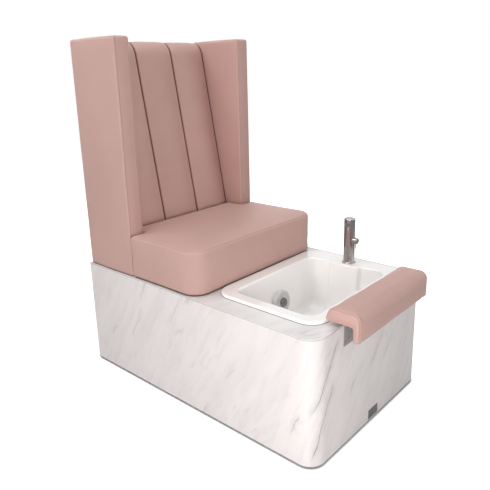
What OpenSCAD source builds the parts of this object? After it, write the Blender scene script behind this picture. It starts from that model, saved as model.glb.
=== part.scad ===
// Pedicure chair: marble plinth with a basin, a winged seat, a tap and a lift-off footrest.
// Millimetres, +Z up. The origin is on the floor, under the middle of the whole chair.
// The sitter faces -Y, and the tap stands on the +X side of the basin.

/* [Plinth] */
// Length of the plinth, front to back
plinth_l = 1200; // [1150:10:1400]
// Width of the plinth
plinth_w = 760; // [740:10:860]
// Height of the marble deck above the floor
deck_z = 470; // [440:5:520]
// Radius of the two front corners
corner_r = 60; // [45:5:80]
// Thickness of the marble wrap round the front and sides
wrap_t = 18; // [15:1:22]
// Thickness of the deck board
deck_t = 18; // [15:1:22]
// Thickness of the laminate that laps over the wrap's top edge
lip_t = 2; // [1:0.5:3]
// Thickness of the rear panel
panel_t = 18; // [15:1:22]
// Width of the timber rails and posts
rail_w = 30; // [25:1:36]
// Height of the rails on the floor
rail_h = 70; // [50:5:75]
// Height of the rails and bearers under the deck
bearer_h = 45; // [35:5:50]
// Height of the glides, which leaves the shadow gap at the floor
glide_h = 6; // [4:1:12]
// Radius of a glide
glide_r = 12; // [10:1:12]
// Width of the service opening in the rear panel
service_w = 300; // [260:10:400]
// Height of the top of the service opening above the floor
service_z = 150; // [140:5:180]
// Width of the bare plate low on the front
plate_w = 66; // [50:1:90]
// Distance of the plate's middle from the plinth's middle
plate_x = 5; // [0:1:40]
// Height of the plate's middle above the floor
plate_z = 34; // [28:1:60]
// Height of the bare plate
plate_h = 36; // [25:1:45]
// Thickness of the bare plate
plate_t = 1.5; // [1:0.5:3]

/* [Wings and back] */
// Height of the wings above the floor
chair_h = 1412; // [1330:10:1480]
// Thickness of a padded wing
wing_t = 76; // [60:1:85]
// Depth of a wing, front to back
wing_d = 298; // [280:2:330]
// How far the wings stand in from the plinth's sides
wing_in = 4; // [2:1:14]
// How far the wings stand in from the plinth's back
wing_back_in = 4; // [2:1:10]
// Thickness of the plywood cores and of the back frame
core_t = 18; // [15:1:20]
// Thickness of the upholstered rear cover
rear_cover_t = 6; // [4:1:8]
// Recline of the back pads, in degrees
recline = 9.7; // [7:0.1:11]
// Radius at which the back pads roll over the top
roll_r = 45; // [40:1:60]
// Flat length of the back pads' top, behind the roll
roll_flat = 17; // [10:1:26]
// Thickness of a back pad at its seams
pad_t = 36; // [28:1:38]
// Crown of a back pad, besides the rounding at its seams
pad_crown = 14; // [8:1:20]
// Depth of the rounding at a back pad's seams
pad_seam_r = 9; // [5:1:12]
// Thickness of the slanting board behind the back pads
slant_t = 12; // [9:1:15]
// How far the back pads reach down behind the seat cushion
pad_tuck = 45; // [30:1:60]

/* [Seat] */
// Height of the seat cushion's edge above the deck
seat_h = 175; // [150:5:200]
// Crown of the seat cushion
seat_crown = 7; // [3:1:14]
// Plan radius of the cushion's front corners
seat_r = 72; // [55:1:85]
// Radius of the cushion's top edge
seat_edge_r = 13; // [8:1:18]
// Gap between the basin's rim and the seat cushion
seat_gap = 9; // [8:1:30]
// Thickness of the board under the seat cushion
seat_board_t = 12; // [9:1:15]
// Shadow gap between the deck and the cushion's cover
shadow_gap = 4; // [2:1:6]

/* [Basin] */
// Length of the rim, front to back
basin_l = 460; // [450:2:500]
// Distance from the rim to the plinth's +X side
basin_tap_in = 35; // [30:1:60]
// Distance from the plinth's front to the rim
basin_front_in = 52; // [48:1:60]
// Distance from the plinth's -X side to the rim
basin_side_in = 82; // [78:1:86]
// Thickness of the rim
rim_t = 10; // [8:1:14]
// Thickness of the sealing bead under the rim
seal_t = 2; // [1:0.5:3]
// Width of the rim at its front and on its -X side
rim_w = 48; // [44:1:52]
// Width of the rim behind the bowl
rim_rear_w = 62; // [60:1:80]
// Width of the rim on its +X side, where the tap stands
rim_tap_w = 77; // [70:1:100]
// How far the bowl's -X side draws in towards its rear
bowl_flare = 4; // [0:1:30]
// How far the bowl's side under the tap draws in towards its rear
tap_flare = 28; // [20:1:50]
// Corner radius of the bowl's mouth
bowl_r = 42; // [34:1:55]
// Depth of the bowl below the rim's top
bowl_depth = 220; // [200:5:230]
// Thickness of the bowl's shell
shell_t = 8; // [6:1:10]
// How far the bowl's walls lean in over their height
wall_lean = 16; // [12:1:22]
// Radius between the bowl's walls and floor
floor_r = 44; // [36:1:60]
// How far the tap ledge stands into the bowl at its rear end
ledge_out = 6; // [3:1:12]
// Width of the tap ledge
ledge_w = 130; // [110:2:150]

/* [Waste] */
// Radius of the waste tube under the basin
waste_r = 23; // [20:1:25]
// Radius of the flange in the bowl's floor
flange_r = 33; // [30:1:38]
// Travel of the pop-up plug
plug_travel = 8; // [5:1:10]
// Outer radius of the waste pipe
pipe_r = 20; // [18:1:22]
// Radius of the bottle trap's cup
trap_r = 36; // [32:1:42]

/* [Jet] */
// Radius of the clear ribbed cover
jet_r = 48; // [44:1:52]
// Height of the jet's centre above the bowl's floor
jet_up = 92; // [92:1:100]
// Depth of the clear cover
jet_cover_d = 16; // [12:1:20]
// Radius of the chrome cap in the cover's middle
jet_cap_r = 20; // [16:1:22]
// Radius of the jet's housing tube
jet_tube_r = 28; // [26:1:32]
// Radius of the jet's motor
motor_r = 44; // [38:1:46]
// Length of the jet's motor
motor_l = 62; // [50:1:66]

/* [Tap] */
// Height of the tap above the rim
tap_h = 192; // [180:2:230]
// Radius of the tap's body
tap_r = 23; // [22:1:26]
// Distance of the tap's axis from the rim's +X edge
tap_in = 61; // [56:1:66]
// Height of the joint between the body and the pull-out handset, above the rim
tap_split = 118; // [112:1:124]
// Height of the control barrel's axis above the rim
barrel_up = 99; // [84:1:101]
// Radius of the control barrel
barrel_r = 14; // [12:1:15]
// How far the control barrel stands out of the body
barrel_out = 16; // [15:1:28]
// Length of the pin lever
lever_l = 33; // [28:1:50]
// Radius of the pin lever
lever_r = 2; // [1.5:0.5:3]
// Radius of the threaded shank
shank_r = 15; // [14.5:0.1:15.5]

/* [Footrest] */
// Length of the footrest
rest_l = 500; // [400:10:560]
// Gap between the plinth's front and the footrest's flap
flap_gap = 50; // [45:1:70]
// Thickness of the flap
flap_t = 26; // [18:1:30]
// How far the flap hangs below the footrest's underside
flap_drop = 50; // [30:1:60]
// Thickness of the footrest's top
rest_t = 50; // [38:1:60]
// How far the footrest reaches back over the deck
rest_back = 55; // [48:1:56]
// Thickness of the board in the footrest
rest_board_t = 12; // [9:1:15]
// Thickness of the steel brackets
bracket_t = 3; // [2:0.5:4]
// Width of a bracket
bracket_w = 60; // [40:1:80]
// Height of a bracket's leg down the plinth's front
bracket_h = 90; // [70:1:120]
// Radius of the locating studs on the brackets
stud_r = 4; // [3:0.5:5]

/* [Hidden] */

// Overrun of every cut
over = 1;
// Gap between a soft piece and what stands beside it
soft_gap = 0.3;
// Radial clearance of a pin that turns or slides in its bore
run_gap = 0.05;
// Radial clearance of a screw, nail or tube in its hole
hole_gap = 0.2;
// Gap under a piece that only rests on another
rest_gap = 0.2;
// Smallest radius in a soft outline
least_r = 1;

// Sides of a circle
$fn = 64;

// Frame of the whole chair
gland_out = 3;
pad_out = flap_gap + flap_t;
front_y = -(plinth_l + gland_out - pad_out) / 2;
back_y = front_y + plinth_l;
side_x = plinth_w / 2;
inner_x = side_x - wrap_t;
rail_x = inner_x - rail_w;
rail_y = front_y + corner_r;
panel_y = back_y - panel_t;
under_deck = deck_z - deck_t;
cross_top = glide_h + rail_h;

// Wings
wing_x = side_x - wing_in;
wing_inner_x = wing_x - wing_t;
wing_back = back_y - wing_back_in;
wing_front = wing_back - wing_d;
wing_edge_r = 9;
wing_swell = 2;
wing_r = 10;
wing_foot_in = 2;
core_in = 12;
core_x = wing_x - (wing_t + core_t) / 2;

// Back frame and its bolts
cover_front = wing_back - rear_cover_t;
frame_front = cover_front - core_t;
frame_x = wing_inner_x - soft_gap;
bolt_r = 4;
bolt_head_r = 7;
bolt_head_t = 4;
bolt_bite = 40;
bolt_y = frame_front + core_t / 2;
bolt_shares = [0.12, 0.47, 0.82];

// Profile of the back pads: a reclined line, an arc, and a short flat top
seat_z = deck_z + seat_h;
end_drop = 12;
path_end_z = chair_h - end_drop;
arc_y = cover_front - roll_flat;
bend_z = path_end_z - roll_r * (1 - sin(recline));
bend_y = arc_y - roll_r * cos(recline);
foot_z = seat_z - pad_tuck;
function line_y(z) = bend_y - (bend_z - z) * tan(recline);
frame_top = path_end_z - pad_t - soft_gap;
pad_gap = 0.3;
pad_count = 3;
pad_w = 2 * (wing_inner_x - pad_gap) / pad_count;
fade_share = 0.1;
end_share = 0.45;
line_shares = [0, 0.025, 0.06, 0.1, 0.3, 0.5, 0.75];
arc_steps = 6;
across_steps = 6;

// Seat
seat_front = front_y + basin_front_in + basin_l + seat_gap;
seat_rear = line_y(seat_z) - pad_crown - pad_seam_r;
seat_draw = 3;
seat_foot_in = 7;
seat_board_in = 14;
shoulder_r = 9;
crown_share = 0.3;
crown_shares = [0.3, 0.65, 1];

// Basin
rim_left = -side_x + basin_side_in;
rim_right = side_x - basin_tap_in;
rim_front = front_y + basin_front_in;
rim_rear = rim_front + basin_l;
rim_bottom = deck_z + seal_t;
rim_z = rim_bottom + rim_t;
rim_edge_r = 6;
rim_rear_r = 70;
rim_front_r = 68;
seal_in = 3;
seal_w = 9;
lip_r = 7;
bowl_left = rim_left + rim_w;
bowl_right = rim_right - rim_tap_w;
bowl_front = rim_front + rim_w;
bowl_rear = rim_rear - rim_rear_w;
bowl_l = bowl_rear - bowl_front;
bowl_x = (bowl_left + bowl_right) / 2;
floor_z = rim_z - bowl_depth;
under_floor = floor_z - shell_t;
cut_gap = 2;
crease_w = 8;
bowl_least_r = 6;
wall_slope = wall_lean / (bowl_depth - lip_r - floor_r);

// Waste
drain_x = bowl_x;
drain_y = bowl_front + bowl_l / 2;
flange_t = 3;
waste_wall = 3;
waste_l = 46;
plug_gap = 1;
plug_r = waste_r - waste_wall - plug_gap;
plug_head_r = 25;
plug_t = 4;
plug_l = 8;
stem_r = 5;
hub_r = 9;
hub_h = 14;
spoke_w = 3;
waste_nut_t = 12;
waste_nut_r = 34;
pipe_wall = 2;
socket_wall = 4;
socket_l = 26;
socket_gap = 0.1;
socket_r = pipe_r + socket_wall;
pipe_end_in = 8;
pipe_z = cross_top + rest_gap + socket_r;
outlet_r = pipe_r - pipe_wall - hole_gap;
outlet_l = 60;
trap_wall = 3;
trap_down = 62;
trap_h = 92;
trap_foot = pipe_z - trap_down;
trap_top = trap_foot + trap_h;
dip_up = 22;
collar_wall = 5;
collar_h = 22;
collar_lap = 16;
collar_z = under_floor - waste_l + collar_lap - collar_h;

// Jet, square to the bowl's leaning rear wall
jet_z = floor_z + jet_up;
jet_y = bowl_rear - (rim_z - lip_r - jet_z) * wall_slope;
jet_tilt = atan(wall_slope);
jet_flange_t = 3;
jet_wall = 2.5;
jet_tail = 22;
jet_back = shell_t + jet_tail;
membrane_t = 3;
jet_nut_r = 38;
jet_nut_t = 10;
spindle_r = 2;
impeller_gap = 0.5;
blade_l = 12;
blade_t = 2;
blades = 6;
impeller_r = jet_tube_r - jet_wall - blade_t;
impeller_l = blade_l + blade_t;
impeller_d = jet_back - membrane_t - impeller_gap - impeller_l;
cover_wall = 3;
cover_back = -jet_flange_t - rest_gap;
cap_neck = 4;
cap_dome = 5;
ribs = 24;
slot_share = 0.5;
slot_l_share = 0.6;
motor_plate_t = 3;
motor_step = 5;

// Electrics
box_t = 60;
box_l = 160;
box_h = 100;
box_gap = 145;
box_y = seat_front + rail_w + box_gap;
box_z = 200;
cable_r = 3.5;
cable_pull_share = 0.5;
gland_r = 11;
gland_hole_r = 8;
gland_bore_r = 4.5;
gland_nut_t = 12;
gland_share = 0.65;
gland_x = -side_x * gland_share;
gland_z = 200;

// Tap
tap_x = rim_right - tap_in;
tap_share = 0.52;
tap_y = bowl_front + bowl_l * tap_share;
tap_base_out = 5;
tap_base_h = 6;
tap_foot = rim_z + tap_base_h;
tap_bore_r = 16.5;
hole_r = 16;
shank_wall = 1.4;
shank_l = 62;
nut_hex_r = 24;
tap_nut_t = 8;
cap_r = 4;
dock_l = 20;
hose_grip = 6;
handset_bore_r = 12;
handset_foot = rim_z + tap_split + rest_gap;
stem_foot = handset_foot - dock_l;
handset_top = rim_z + tap_h;
spray_r = 11;
spray_t = 3;
spray_down = 24;
spray_holes = 8;
spray_share = 0.6;
spray_hole_r = 0.8;

// Control barrel and its pin lever
barrel_z = rim_z + barrel_up;
barrel_neck = 2;
barrel_dome = 3;
barrel_foot = tap_r + barrel_neck + rest_gap;
barrel_l = barrel_out - barrel_neck;
cartridge_r = 10.5;
cartridge_l = 7;
control_r = 4;
control_l = 1.5;
eye_r = 3;
lever_pin_r = 1.2;
lever_pin_l = 14;
lever_gap = 0.6;
lever_swing = 14;
lever_share = 0.37;
lever_out = barrel_foot + barrel_l * lever_share;

// Hoses in the tap's shank
hose_r = 4.5;
hose_gap = 0.5;
tail_r = 3.6;
leg_x = hose_r + hose_gap;
leg_y = -4;
tail_x = tail_r + hose_gap;
tail_y = 8.2;
hose_low_z = 330;
loop_wide = 75;
loop_drop = 90;
loop_low_z = 160;

// Stop valves on the rear cross rail
valve_r = 13;
valve_z = cross_top + rest_gap + valve_r;
nipple_r = 8;
nipple_l = 14;
stub_r = 10.4;
stub_l = 16;
stub_bore_r = 6.5;
knob_r = 9;
knob_t = 10;
knob_up = 14;
supply_in = 51;
supply_pitch = 45;
supply_x = [drain_x + supply_in, drain_x + supply_in + supply_pitch];
hose_fall = 270;
hose_lead = 420;

// Footrest
rest_clear = 1.5;
rest_z = rim_z + rest_clear;
rest_top = rest_z + rest_t;
rest_front = front_y - pad_out;
rest_rear = front_y + rest_back;
rest_lean = 18;
rest_edge_r = 8;
rest_top_r = 24;
rest_crown = 3;
rest_board_in = 12;
board_front = rest_front + flap_t;
board_rear = rest_rear - rest_board_in;
stud_h = 9;
bracket_far = 215;
bracket_mid = bracket_far - bracket_w / 2;
bracket_top = rest_z - rest_gap;
shelf_gap = 12;
bracket_reach = flap_gap - shelf_gap;
bracket_hole_r = 2.6;
bracket_screw_l = 16;
bracket_head_r = 5;
bracket_head_t = 2.5;
bracket_shares = [0.2, 0.6];
stud_places = [for (s = [-1, 1]) [s * bracket_mid, front_y - bracket_reach / 2]];
bumper_r = 7;
bumper_in = 3;

// Screws and nails of the plinth
screw_r = 2.5;
screw_l = 45;
screw_head_r = 5;
screw_head_t = 3;
screw_shares = [0.1, 0.5, 0.95];
screw_places = [for (s = [-1, 1], t = screw_shares)
    [s * (inner_x - rail_w / 2), glide_h + (under_deck - glide_h) * t]];
nail_r = 2;
nail_l = 18;
glide_in = 50;
cross_places = [rail_y, seat_front, panel_y - rail_w];
glide_places = [for (s = [-1, 1], y = [rail_y + glide_in, seat_front, panel_y - glide_in])
    [s * (inner_x - rail_w / 2), y]];

// Colours
marble = [0.92, 0.90, 0.89];
pine = [0.80, 0.66, 0.46];
ply = [0.76, 0.61, 0.43];
pink = [0.76, 0.56, 0.51];
white = [0.95, 0.95, 0.94];
chrome = [0.50, 0.50, 0.52];
steel = [0.62, 0.62, 0.63];
black = [0.12, 0.12, 0.13];
grey = [0.45, 0.45, 0.46];
clear = [0.80, 0.86, 0.88];
brass = [0.72, 0.60, 0.32];

// Shared shapes
function unit(v) = v / norm(v);

// Points of an arc of radius r that rounds the corner at b, between its neighbours a and c
function corner(a, b, c, r, n) =
    r == 0 ? [b] :
    let (u = unit(a - b), v = unit(c - b), half = acos(u * v) / 2,
         t = r / tan(half), m = b + unit(u + v) * r / sin(half),
         p = b + u * t - m, q = b + v * t - m,
         start = atan2(p[1], p[0]), turn = atan2(q[1], q[0]) - start,
         sweep = turn > 180 ? turn - 360 : turn < -180 ? turn + 360 : turn)
    [for (k = [0 : n]) m + r * [cos(start + sweep * k / n), sin(start + sweep * k / n)]];

// One side from a to b as [point, radius] rows. Between the corners, rounded by r and s, m points
// draw in by up to d.
function side_rows(a, b, r, s, d, m) =
    let (v = b - a, long = norm(v), inward = unit([-v[1], v[0]]))
    concat([[a, r]], m == 0 ? [] :
        [for (j = [1 : m]) let (t = (r + (long - r - s) * j / (m + 1)) / long)
            [a + t * v + inward * d * 4 * t * (1 - t), 0]]);

// Outline through pts with rounded corners, whose sides draw in by d and have m points each
function outline(pts, radii, d = 0, m = 0, n = 4) =
    let (count = len(pts),
         rows = [for (k = [0 : count - 1])
             each side_rows(pts[k], pts[(k + 1) % count], radii[k], radii[(k + 1) % count], d, m)],
         last = len(rows) - 1)
    [for (k = [0 : last])
        each corner(rows[k == 0 ? last : k - 1][0], rows[k][0], rows[k == last ? 0 : k + 1][0],
            rows[k][1], n)];

function rectangle(x0, y0, x1, y1) = [[x0, y0], [x1, y0], [x1, y1], [x0, y1]];
function at_height(ring, z) = [for (p = ring) [p[0], p[1], z]];
function flat(ring) = [for (p = ring) [p[0], p[1]]];

// Closed skin through rings of points, each anticlockwise seen from the last ring
module loft(rings) {
    n = len(rings[0]);
    top = len(rings) - 1;
    polyhedron(
        points = [for (r = rings) each r],
        faces = concat(
            [[for (i = [0 : n - 1]) i]],
            [for (k = [0 : top - 1], i = [0 : n - 1])
                let (a = k * n + i, b = k * n + (i + 1) % n) each [[a, a + n, b + n], [a, b + n, b]]],
            [[for (i = [n - 1 : -1 : 0]) top * n + i]]),
        convexity = 8);
}

// Smooth run from p to q that leaves along u and arrives along v
function run(p, u, v, q, n) =
    [for (k = [0 : n]) let (t = k / n, s = 1 - t)
        s * s * s * p + 3 * s * s * t * (p + u) + 3 * s * t * t * (q - v) + t * t * t * q];

// Round tube along a path of points
module hose(path, r, sides = 8) {
    last = len(path) - 1;
    skew = [0.28, 0.93, 0.24];
    loft([for (k = [0 : last])
        let (along = unit(path[min(k + 1, last)] - path[max(k - 1, 0)]),
             across = unit(cross(skew, along)), over_it = cross(along, across))
        [for (j = [0 : sides - 1]) let (a = 360 * j / sides)
            path[k] + r * (cos(a) * across + sin(a) * over_it)]]);
}

module block(low, high) {
    translate(low) cube(high - low);
}

module along_y(x, y, z) {
    translate([x, y, z]) rotate([-90, 0, 0]) children();
}

module both_sides() {
    for (s = [0, 1]) mirror([s, 0, 0]) children();
}

// Tube with its foot at the origin, open at both ends
module tube(r, wall, h) {
    difference() {
        cylinder(r = r, h = h);
        translate([0, 0, -over]) cylinder(r = r - wall, h = h + 2 * over);
    }
}

// Hexagonal nut with its foot at the origin
module nut(r, hole, h) {
    difference() {
        cylinder(r = r, h = h, $fn = 6);
        translate([0, 0, -over]) cylinder(r = hole, h = h + 2 * over);
    }
}

// Plinth
// Its outline drawn in by some amount, running on past its back by some amount
module plan(inset, past = 0) {
    w = side_x - inset;
    r = corner_r - inset;
    translate([-w, rail_y]) square([2 * w, plinth_l - corner_r + past]);
    translate([r - w, front_y + inset]) square([2 * (w - r), r + over]);
    for (s = [-1, 1]) translate([s * (w - r), rail_y]) circle(r);
}

module bracket_screw_holes(depth) {
    for (s = [-1, 1], t = bracket_shares)
        along_y(s * bracket_mid, front_y - bracket_t - over, bracket_top - bracket_h * (1 - t))
            cylinder(r = bracket_hole_r + hole_gap, h = depth + bracket_t + over);
}

module plinth_wrap() {
    color(marble) difference() {
        translate([0, 0, glide_h]) linear_extrude(deck_z - lip_t - glide_h) difference() {
            plan(0);
            plan(wrap_t, over);
        }
        bracket_screw_holes(bracket_screw_l);
    }
}

module deck() {
    color(marble) difference() {
        union() {
            translate([0, 0, deck_z - lip_t]) linear_extrude(lip_t) plan(0);
            translate([0, 0, under_deck]) linear_extrude(deck_t - lip_t / 2) plan(wrap_t);
        }
        translate([0, 0, under_deck - over]) linear_extrude(deck_t + 2 * over)
            polygon(flat(bowl_ring(-shell_t - cut_gap, 0)));
        at_tap(under_deck - over) cylinder(r = hole_r, h = deck_t + 2 * over);
    }
}

module rear_panel() {
    color(marble) difference() {
        block([-inner_x, panel_y, glide_h], [inner_x, back_y, under_deck]);
        block([-service_w / 2, panel_y - over, glide_h - over],
            [service_w / 2, back_y + over, service_z]);
        along_y(gland_x, panel_y - over, gland_z)
            cylinder(r = gland_hole_r + hole_gap, h = panel_t + 2 * over);
        for (p = screw_places) along_y(p[0], back_y - screw_head_t, p[1]) {
            cylinder(r = screw_head_r + hole_gap, h = screw_head_t + over);
            translate([0, 0, -panel_t]) cylinder(r = screw_r + hole_gap, h = panel_t + over);
        }
    }
}

module rear_panel_screws() {
    color(steel) for (p = screw_places) along_y(p[0], back_y - screw_head_t, p[1]) {
        cylinder(r = screw_head_r, h = screw_head_t);
        translate([0, 0, -screw_l]) cylinder(r = screw_r, h = screw_l + over);
    }
}

module screw_bores() {
    for (p = screw_places) along_y(p[0], back_y - screw_head_t - screw_l - hole_gap, p[1])
        cylinder(r = screw_r + hole_gap, h = screw_l);
}

module base_rails() {
    color(pine) difference() {
        both_sides() block([rail_x, rail_y, glide_h], [inner_x, panel_y, cross_top]);
        screw_bores();
        for (p = glide_places) translate([p[0], p[1], glide_h - over])
            cylinder(r = nail_r + hole_gap, h = nail_l + 2 * over);
    }
}

module base_cross_rails() {
    color(pine) for (y = cross_places) block([-rail_x, y, glide_h], [rail_x, y + rail_w, cross_top]);
}

module posts() {
    color(pine) difference() {
        for (y = cross_places) both_sides()
            block([rail_x, y, cross_top], [inner_x, y + rail_w, under_deck - bearer_h]);
        screw_bores();
    }
}

module top_rails() {
    color(pine) difference() {
        both_sides() block([rail_x, rail_y, under_deck - bearer_h], [inner_x, panel_y, under_deck]);
        screw_bores();
    }
}

module deck_bearers() {
    low = under_deck - bearer_h;
    front_x = side_x - corner_r;
    color(pine) {
        block([-front_x, front_y + wrap_t, low], [front_x, front_y + wrap_t + rail_w, under_deck]);
        for (y = [seat_front + rail_w, wing_front, panel_y - rail_w])
            block([-rail_x, y, low], [rail_x, y + rail_w, under_deck]);
    }
}

module glides() {
    color(black) for (p = glide_places) translate([p[0], p[1], 0]) {
        cylinder(r = glide_r, h = glide_h);
        cylinder(r = nail_r, h = glide_h + nail_l);
    }
}

module front_plate() {
    color(grey) block([plate_x - plate_w / 2, front_y - plate_t, plate_z - plate_h / 2],
        [plate_x + plate_w / 2, front_y, plate_z + plate_h / 2]);
}

// Seat
// T-shaped outline: full width in front of the wings, narrower between them
function seat_ring(inset, draw, z) =
    let (w = wing_x - inset, w2 = wing_inner_x - soft_gap - inset, y0 = seat_front + inset,
         y1 = wing_front - soft_gap - inset, y2 = seat_rear - inset,
         r = max(seat_r - inset, least_r), s = max(shoulder_r - inset, least_r))
    at_height(outline([[-w, y0], [w, y0], [w, y1], [w2, y1], [w2, y2], [-w2, y2], [-w2, y1], [-w, y1]],
        [r, r, s, 0, s, s, 0, s], draw, 3, 6), z);

module seat_board() {
    color(ply) translate([0, 0, deck_z]) linear_extrude(seat_board_t)
        polygon(flat(seat_ring(seat_board_in, 0, 0)));
}

// One skin from the recess over the board, out round the foot and up to the crown
module seat_cushion() {
    foot = deck_z + shadow_gap;
    edge = seat_z - seat_edge_r;
    crown_in = (wing_front - seat_front) * crown_share;
    recess_in = seat_board_in - soft_gap - seat_draw / 2;
    color(pink) loft(concat(
        [seat_ring(recess_in, seat_draw / 2, deck_z + seat_board_t + soft_gap),
         seat_ring(recess_in, seat_draw / 2, foot),
         seat_ring(seat_foot_in, seat_draw / 2, foot),
         seat_ring(seat_foot_in / 4, seat_draw / 2, foot + seat_foot_in),
         seat_ring(0, seat_draw, foot + 3 * seat_foot_in),
         seat_ring(0, seat_draw, (foot + edge) / 2)],
        [for (a = [0 : 30 : 90])
            seat_ring(seat_edge_r * (1 - cos(a)), seat_draw * (1 + cos(a)) / 2,
                edge + seat_edge_r * sin(a))],
        [for (t = crown_shares)
            seat_ring(seat_edge_r + (crown_in - seat_edge_r) * t, seat_draw / 2,
                seat_z + seat_crown * (2 - t) * t)]));
}

// Back
// The wing bolts on the +X side, with some room round them
module bolt(gap) {
    for (t = bolt_shares) translate([0, bolt_y, deck_z + (chair_h - deck_z) * t]) rotate([0, 90, 0]) {
        translate([0, 0, wing_inner_x - bolt_bite])
            cylinder(r = bolt_r + gap, h = core_x + core_t - wing_inner_x + bolt_bite);
        translate([0, 0, core_x + core_t]) cylinder(r = bolt_head_r + gap, h = bolt_head_t + gap);
    }
}

module wing_bolts() {
    color(steel) both_sides() bolt(0);
}

module back_frame() {
    color(ply) difference() {
        block([-frame_x, frame_front, deck_z], [frame_x, cover_front, frame_top]);
        both_sides() bolt(hole_gap);
    }
}

module slant_board() {
    start = line_y(deck_z) + (pad_t + soft_gap) / cos(recline);
    deep = slant_t / cos(recline);
    run_up = (frame_front - start - deep) / tan(recline);
    color(ply) rotate([90, 0, 90]) translate([0, 0, -frame_x]) linear_extrude(2 * frame_x) polygon([
        [start, deck_z], [start + deep, deck_z],
        [frame_front, deck_z + run_up], [frame_front - deep, deck_z + run_up]
    ]);
}

module rear_cover() {
    color(pink) block([-frame_x, cover_front + soft_gap, deck_z], [frame_x, wing_back, path_end_z]);
}

// Stations up a back pad: its place, its lean, and how full its crown is there
line_l = (bend_z - foot_z) / cos(recline);
line_stations = [for (t = line_shares)
    [[line_y(foot_z) + t * line_l * sin(recline), foot_z + t * line_l * cos(recline)], recline,
     sqrt(min(1, t / fade_share))]];
arc_stations = [for (k = [0 : arc_steps]) let (t = k / arc_steps, a = recline + (90 - recline) * t)
    [[arc_y - roll_r * cos(a), path_end_z - roll_r * (1 - sin(a))], a, 1 - (1 - end_share) * t]];
pad_stations = concat(line_stations, arc_stations, [[[cover_front, path_end_z], 90, end_share]]);

// One channel pad, whose cross-section swells between its two seams
module back_pad(x) {
    half = pad_w / 2 - pad_gap;
    color(pink) translate([x, 0, 0]) loft([for (s = pad_stations)
        let (out = [0, -cos(s[1]), sin(s[1])], base = [0, s[0][0], s[0][1]])
        concat(
            [[-half, 0, 0] + base - out * pad_t],
            [for (k = [-across_steps : across_steps])
                let (u = sin(90 * k / across_steps),
                     swell = pad_crown * (1 - u * u) + pad_seam_r * sqrt(1 - pow(u, 10)))
                [half * u, 0, 0] + base + out * s[2] * swell],
            [[half, 0, 0] + base - out * pad_t])]);
}

module back_pad_left() {
    back_pad(pad_w);
}

module back_pad_centre() {
    back_pad(0);
}

module back_pad_right() {
    back_pad(-pad_w);
}

// Wings. The sitter's left is +X.
function wing_ring(inset, swell, z) = at_height(outline(
    rectangle(wing_inner_x + wing_swell + inset, wing_front + wing_swell + inset,
        wing_x - wing_swell - inset, wing_back - wing_swell - inset),
    [for (k = [0 : 3]) max(wing_r - inset, least_r)], -swell, 3, 4), z);

module wing_cover() {
    foot = deck_z + soft_gap;
    top = chair_h - wing_edge_r;
    color(pink) difference() {
        loft(concat(
            [wing_ring(wing_foot_in, wing_swell / 2, foot), wing_ring(0, wing_swell, foot + wing_t / 3),
             wing_ring(0, wing_swell, (foot + top) / 2)],
            [for (a = [0 : 30 : 90])
                wing_ring(wing_edge_r * (1 - cos(a)), wing_swell * (1 + cos(a)) / 2,
                    top + wing_edge_r * sin(a))]));
        block([core_x - soft_gap, wing_front + core_in - soft_gap, foot - over],
            [core_x + core_t + soft_gap, cover_front + soft_gap, chair_h - core_in + soft_gap]);
        bolt(hole_gap);
    }
}

module wing_core() {
    color(ply) difference() {
        block([core_x, wing_front + core_in, deck_z], [core_x + core_t, cover_front, chair_h - core_in]);
        bolt(hole_gap);
    }
}

module wing_core_left() {
    wing_core();
}

module wing_cover_left() {
    wing_cover();
}

module wing_core_right() {
    mirror([1, 0, 0]) wing_core();
}

module wing_cover_right() {
    mirror([1, 0, 0]) wing_cover();
}

// Basin
function rim_ring(inset, z) =
    let (front = rim_front_r - inset, rear = rim_rear_r - inset)
    at_height(outline(
        rectangle(rim_left + inset, rim_front + inset, rim_right - inset, rim_rear - inset),
        [front, front, rear, rear], 0, 0, 8), z);

// The bowl's side under the tap, as a place in X for a place in Y
function tap_side(y) = bowl_right - tap_flare * (y - bowl_front) / bowl_l;

// Bowl outline drawn in by d from the mouth, with the tap ledge square to the tap
function bowl_ring(d, z) =
    let (x0 = bowl_left + d, y0 = bowl_front + d, y1 = bowl_rear - d, r = max(bowl_r - d / 2, bowl_least_r),
         low = tap_y - ledge_w / 2, high = tap_y + ledge_w / 2, ledge_x = tap_side(high) - ledge_out - d)
    at_height(outline([
        [x0, y0], [tap_side(bowl_front) - d, y0],
        [tap_side(low - crease_w) - d, low - crease_w], [ledge_x, low],
        [ledge_x, high], [tap_side(high + crease_w) - d, high + crease_w],
        [tap_side(bowl_rear) - d, y1], [x0 + bowl_flare, y1]
    ], [r, r, 0, 0, 0, 0, r, r], 0, 0, 7), z);

// Space inside the bowl, up past the rim
module bowl_hollow() {
    loft(concat(
        [for (b = [90 : -22.5 : 0])
            bowl_ring(wall_lean + floor_r * (1 - cos(b)), floor_z + floor_r * (1 - sin(b)))],
        [bowl_ring(0, rim_z - lip_r), bowl_ring(0, rim_z + over)]));
}

// Rounded mouth of the bowl, through the rim
module bowl_mouth() {
    loft(concat(
        [bowl_ring(0, rim_bottom - over)],
        [for (a = [90 : -30 : 0]) bowl_ring(-lip_r * (1 - sin(a)), rim_z - lip_r * (1 - cos(a)))],
        [bowl_ring(-lip_r, rim_z + over)]));
}

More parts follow.
